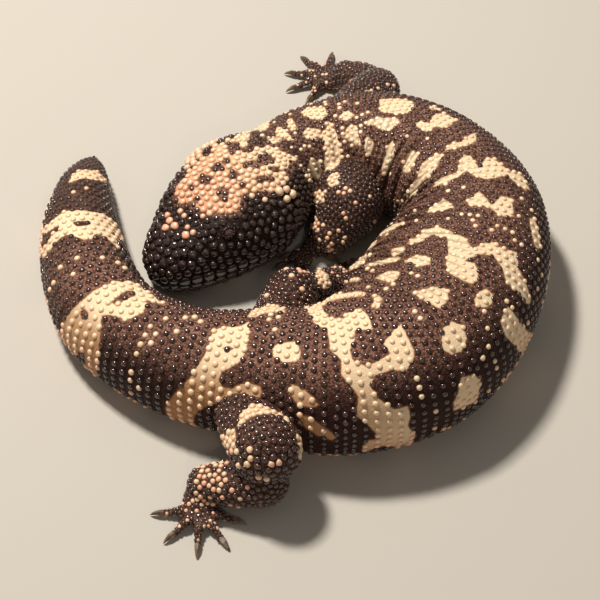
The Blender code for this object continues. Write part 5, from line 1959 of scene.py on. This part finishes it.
eye_finish, tree_, shader = finish_on("eye")
ring = cells(tree_, 900)
fleck = grain(tree_, 2500)
colour = blend(fleck.ease(0.4, 0.7) * 0.6, PUPIL, IRIS_AND_GLINT)
plug(shader.inputs["Base Color"], blend(ring.ease(0.2, 0.6) * 0.3, colour, PUPIL))
plug(shader.inputs["Roughness"], 0.06 + fleck * 0.05)
shader.inputs["Coat Weight"].default_value = 1.0
shader.inputs["Coat Roughness"].default_value = 0.03

claw_finish, tree_, shader = finish_on("claw_horn")
streak = grain(tree_, 1400, 4.0)
layer = grain(tree_, 350)
colour = blend(streak.ease(0.35, 0.7), HORN, HORN_DARK)
colour = blend(layer.ease(0.45, 0.75) * 0.6, colour, HORN_PALE)
plug(shader.inputs["Base Color"], colour)
plug(shader.inputs["Roughness"], 0.35 + streak * 0.2)
plug(shader.inputs["Normal"], bump(tree_, streak, 0.00008, 0.7))

flesh_nodes = []
for name, node in frame["nodes"].items():
    if name.startswith("eye_") or "_claw_" in name:
        for slot_ in node.material_slots:
            slot_.material = eye_finish if name.startswith("eye_") else claw_finish
    else:
        flesh_nodes.append(name)
print(len(flesh_nodes), "solids of flesh to replace")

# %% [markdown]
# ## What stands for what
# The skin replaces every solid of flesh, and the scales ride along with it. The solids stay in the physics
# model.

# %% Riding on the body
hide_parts(*flesh_nodes)
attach(skin, "root")
for name, piece in scale_pieces.items():
    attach(piece, "root")
print(len(scale_pieces) + 1, "pieces ride on the body")

# %% [markdown]
# ## Floor and light
# A plain pale floor, an even pale sky, and one lamp above and a little behind. The lamp is small, like a far
# sun, so each dome gets one clear point of light, and a weak one from the front gives it a second.

# %% Stage
FLOOR_COLOUR = (0.50, 0.465, 0.415)
FLOOR_PATCH = (0.44, 0.405, 0.36)
FLOOR_SIZE = 3.0
SKY_COLOUR = (1.0, 0.96, 0.90, 1)
SKY_STRENGTH = 0.21
LAMPS_LOOK_AT = Vector((0, 0, 0.02))

bpy.ops.mesh.primitive_plane_add(size=FLOOR_SIZE)
floor = bpy.context.active_object
floor.name = "floor"
floor_finish, tree_, shader = finish_on("floor")
mottle = grain(tree_, 6)
plug(shader.inputs["Base Color"], blend(mottle * 0.15, FLOOR_COLOUR, FLOOR_PATCH))
shader.inputs["Roughness"].default_value = 0.9
floor.data.materials.append(floor_finish)


def add_lamp(name, place, size, watts, colour):
    """A square area lamp that looks at the middle of the animal."""
    data = bpy.data.lights.new(name, "AREA")
    data.size = size
    data.energy = watts
    data.color = colour
    lamp = linked(name, data)
    lamp.location = place
    lamp.rotation_euler = (LAMPS_LOOK_AT - Vector(place)).to_track_quat("-Z", "Y").to_euler()


add_lamp("key", place=(-0.38, 0.37, 1.09), size=0.15, watts=20.0, colour=(1.0, 0.95, 0.87))
add_lamp("fill", place=(0.2, -1.2, 1.1), size=0.16, watts=1.8, colour=(1.0, 0.88, 0.74))
world = bpy.data.worlds.new("sky")
bpy.context.scene.world = world
world.use_nodes = True
sky = world.node_tree.nodes["Background"]
sky.inputs["Color"].default_value = SKY_COLOUR
sky.inputs["Strength"].default_value = SKY_STRENGTH
bpy.context.scene.view_settings.view_transform = "Standard"
print("floor", FLOOR_SIZE, "m wide, sky", SKY_STRENGTH)
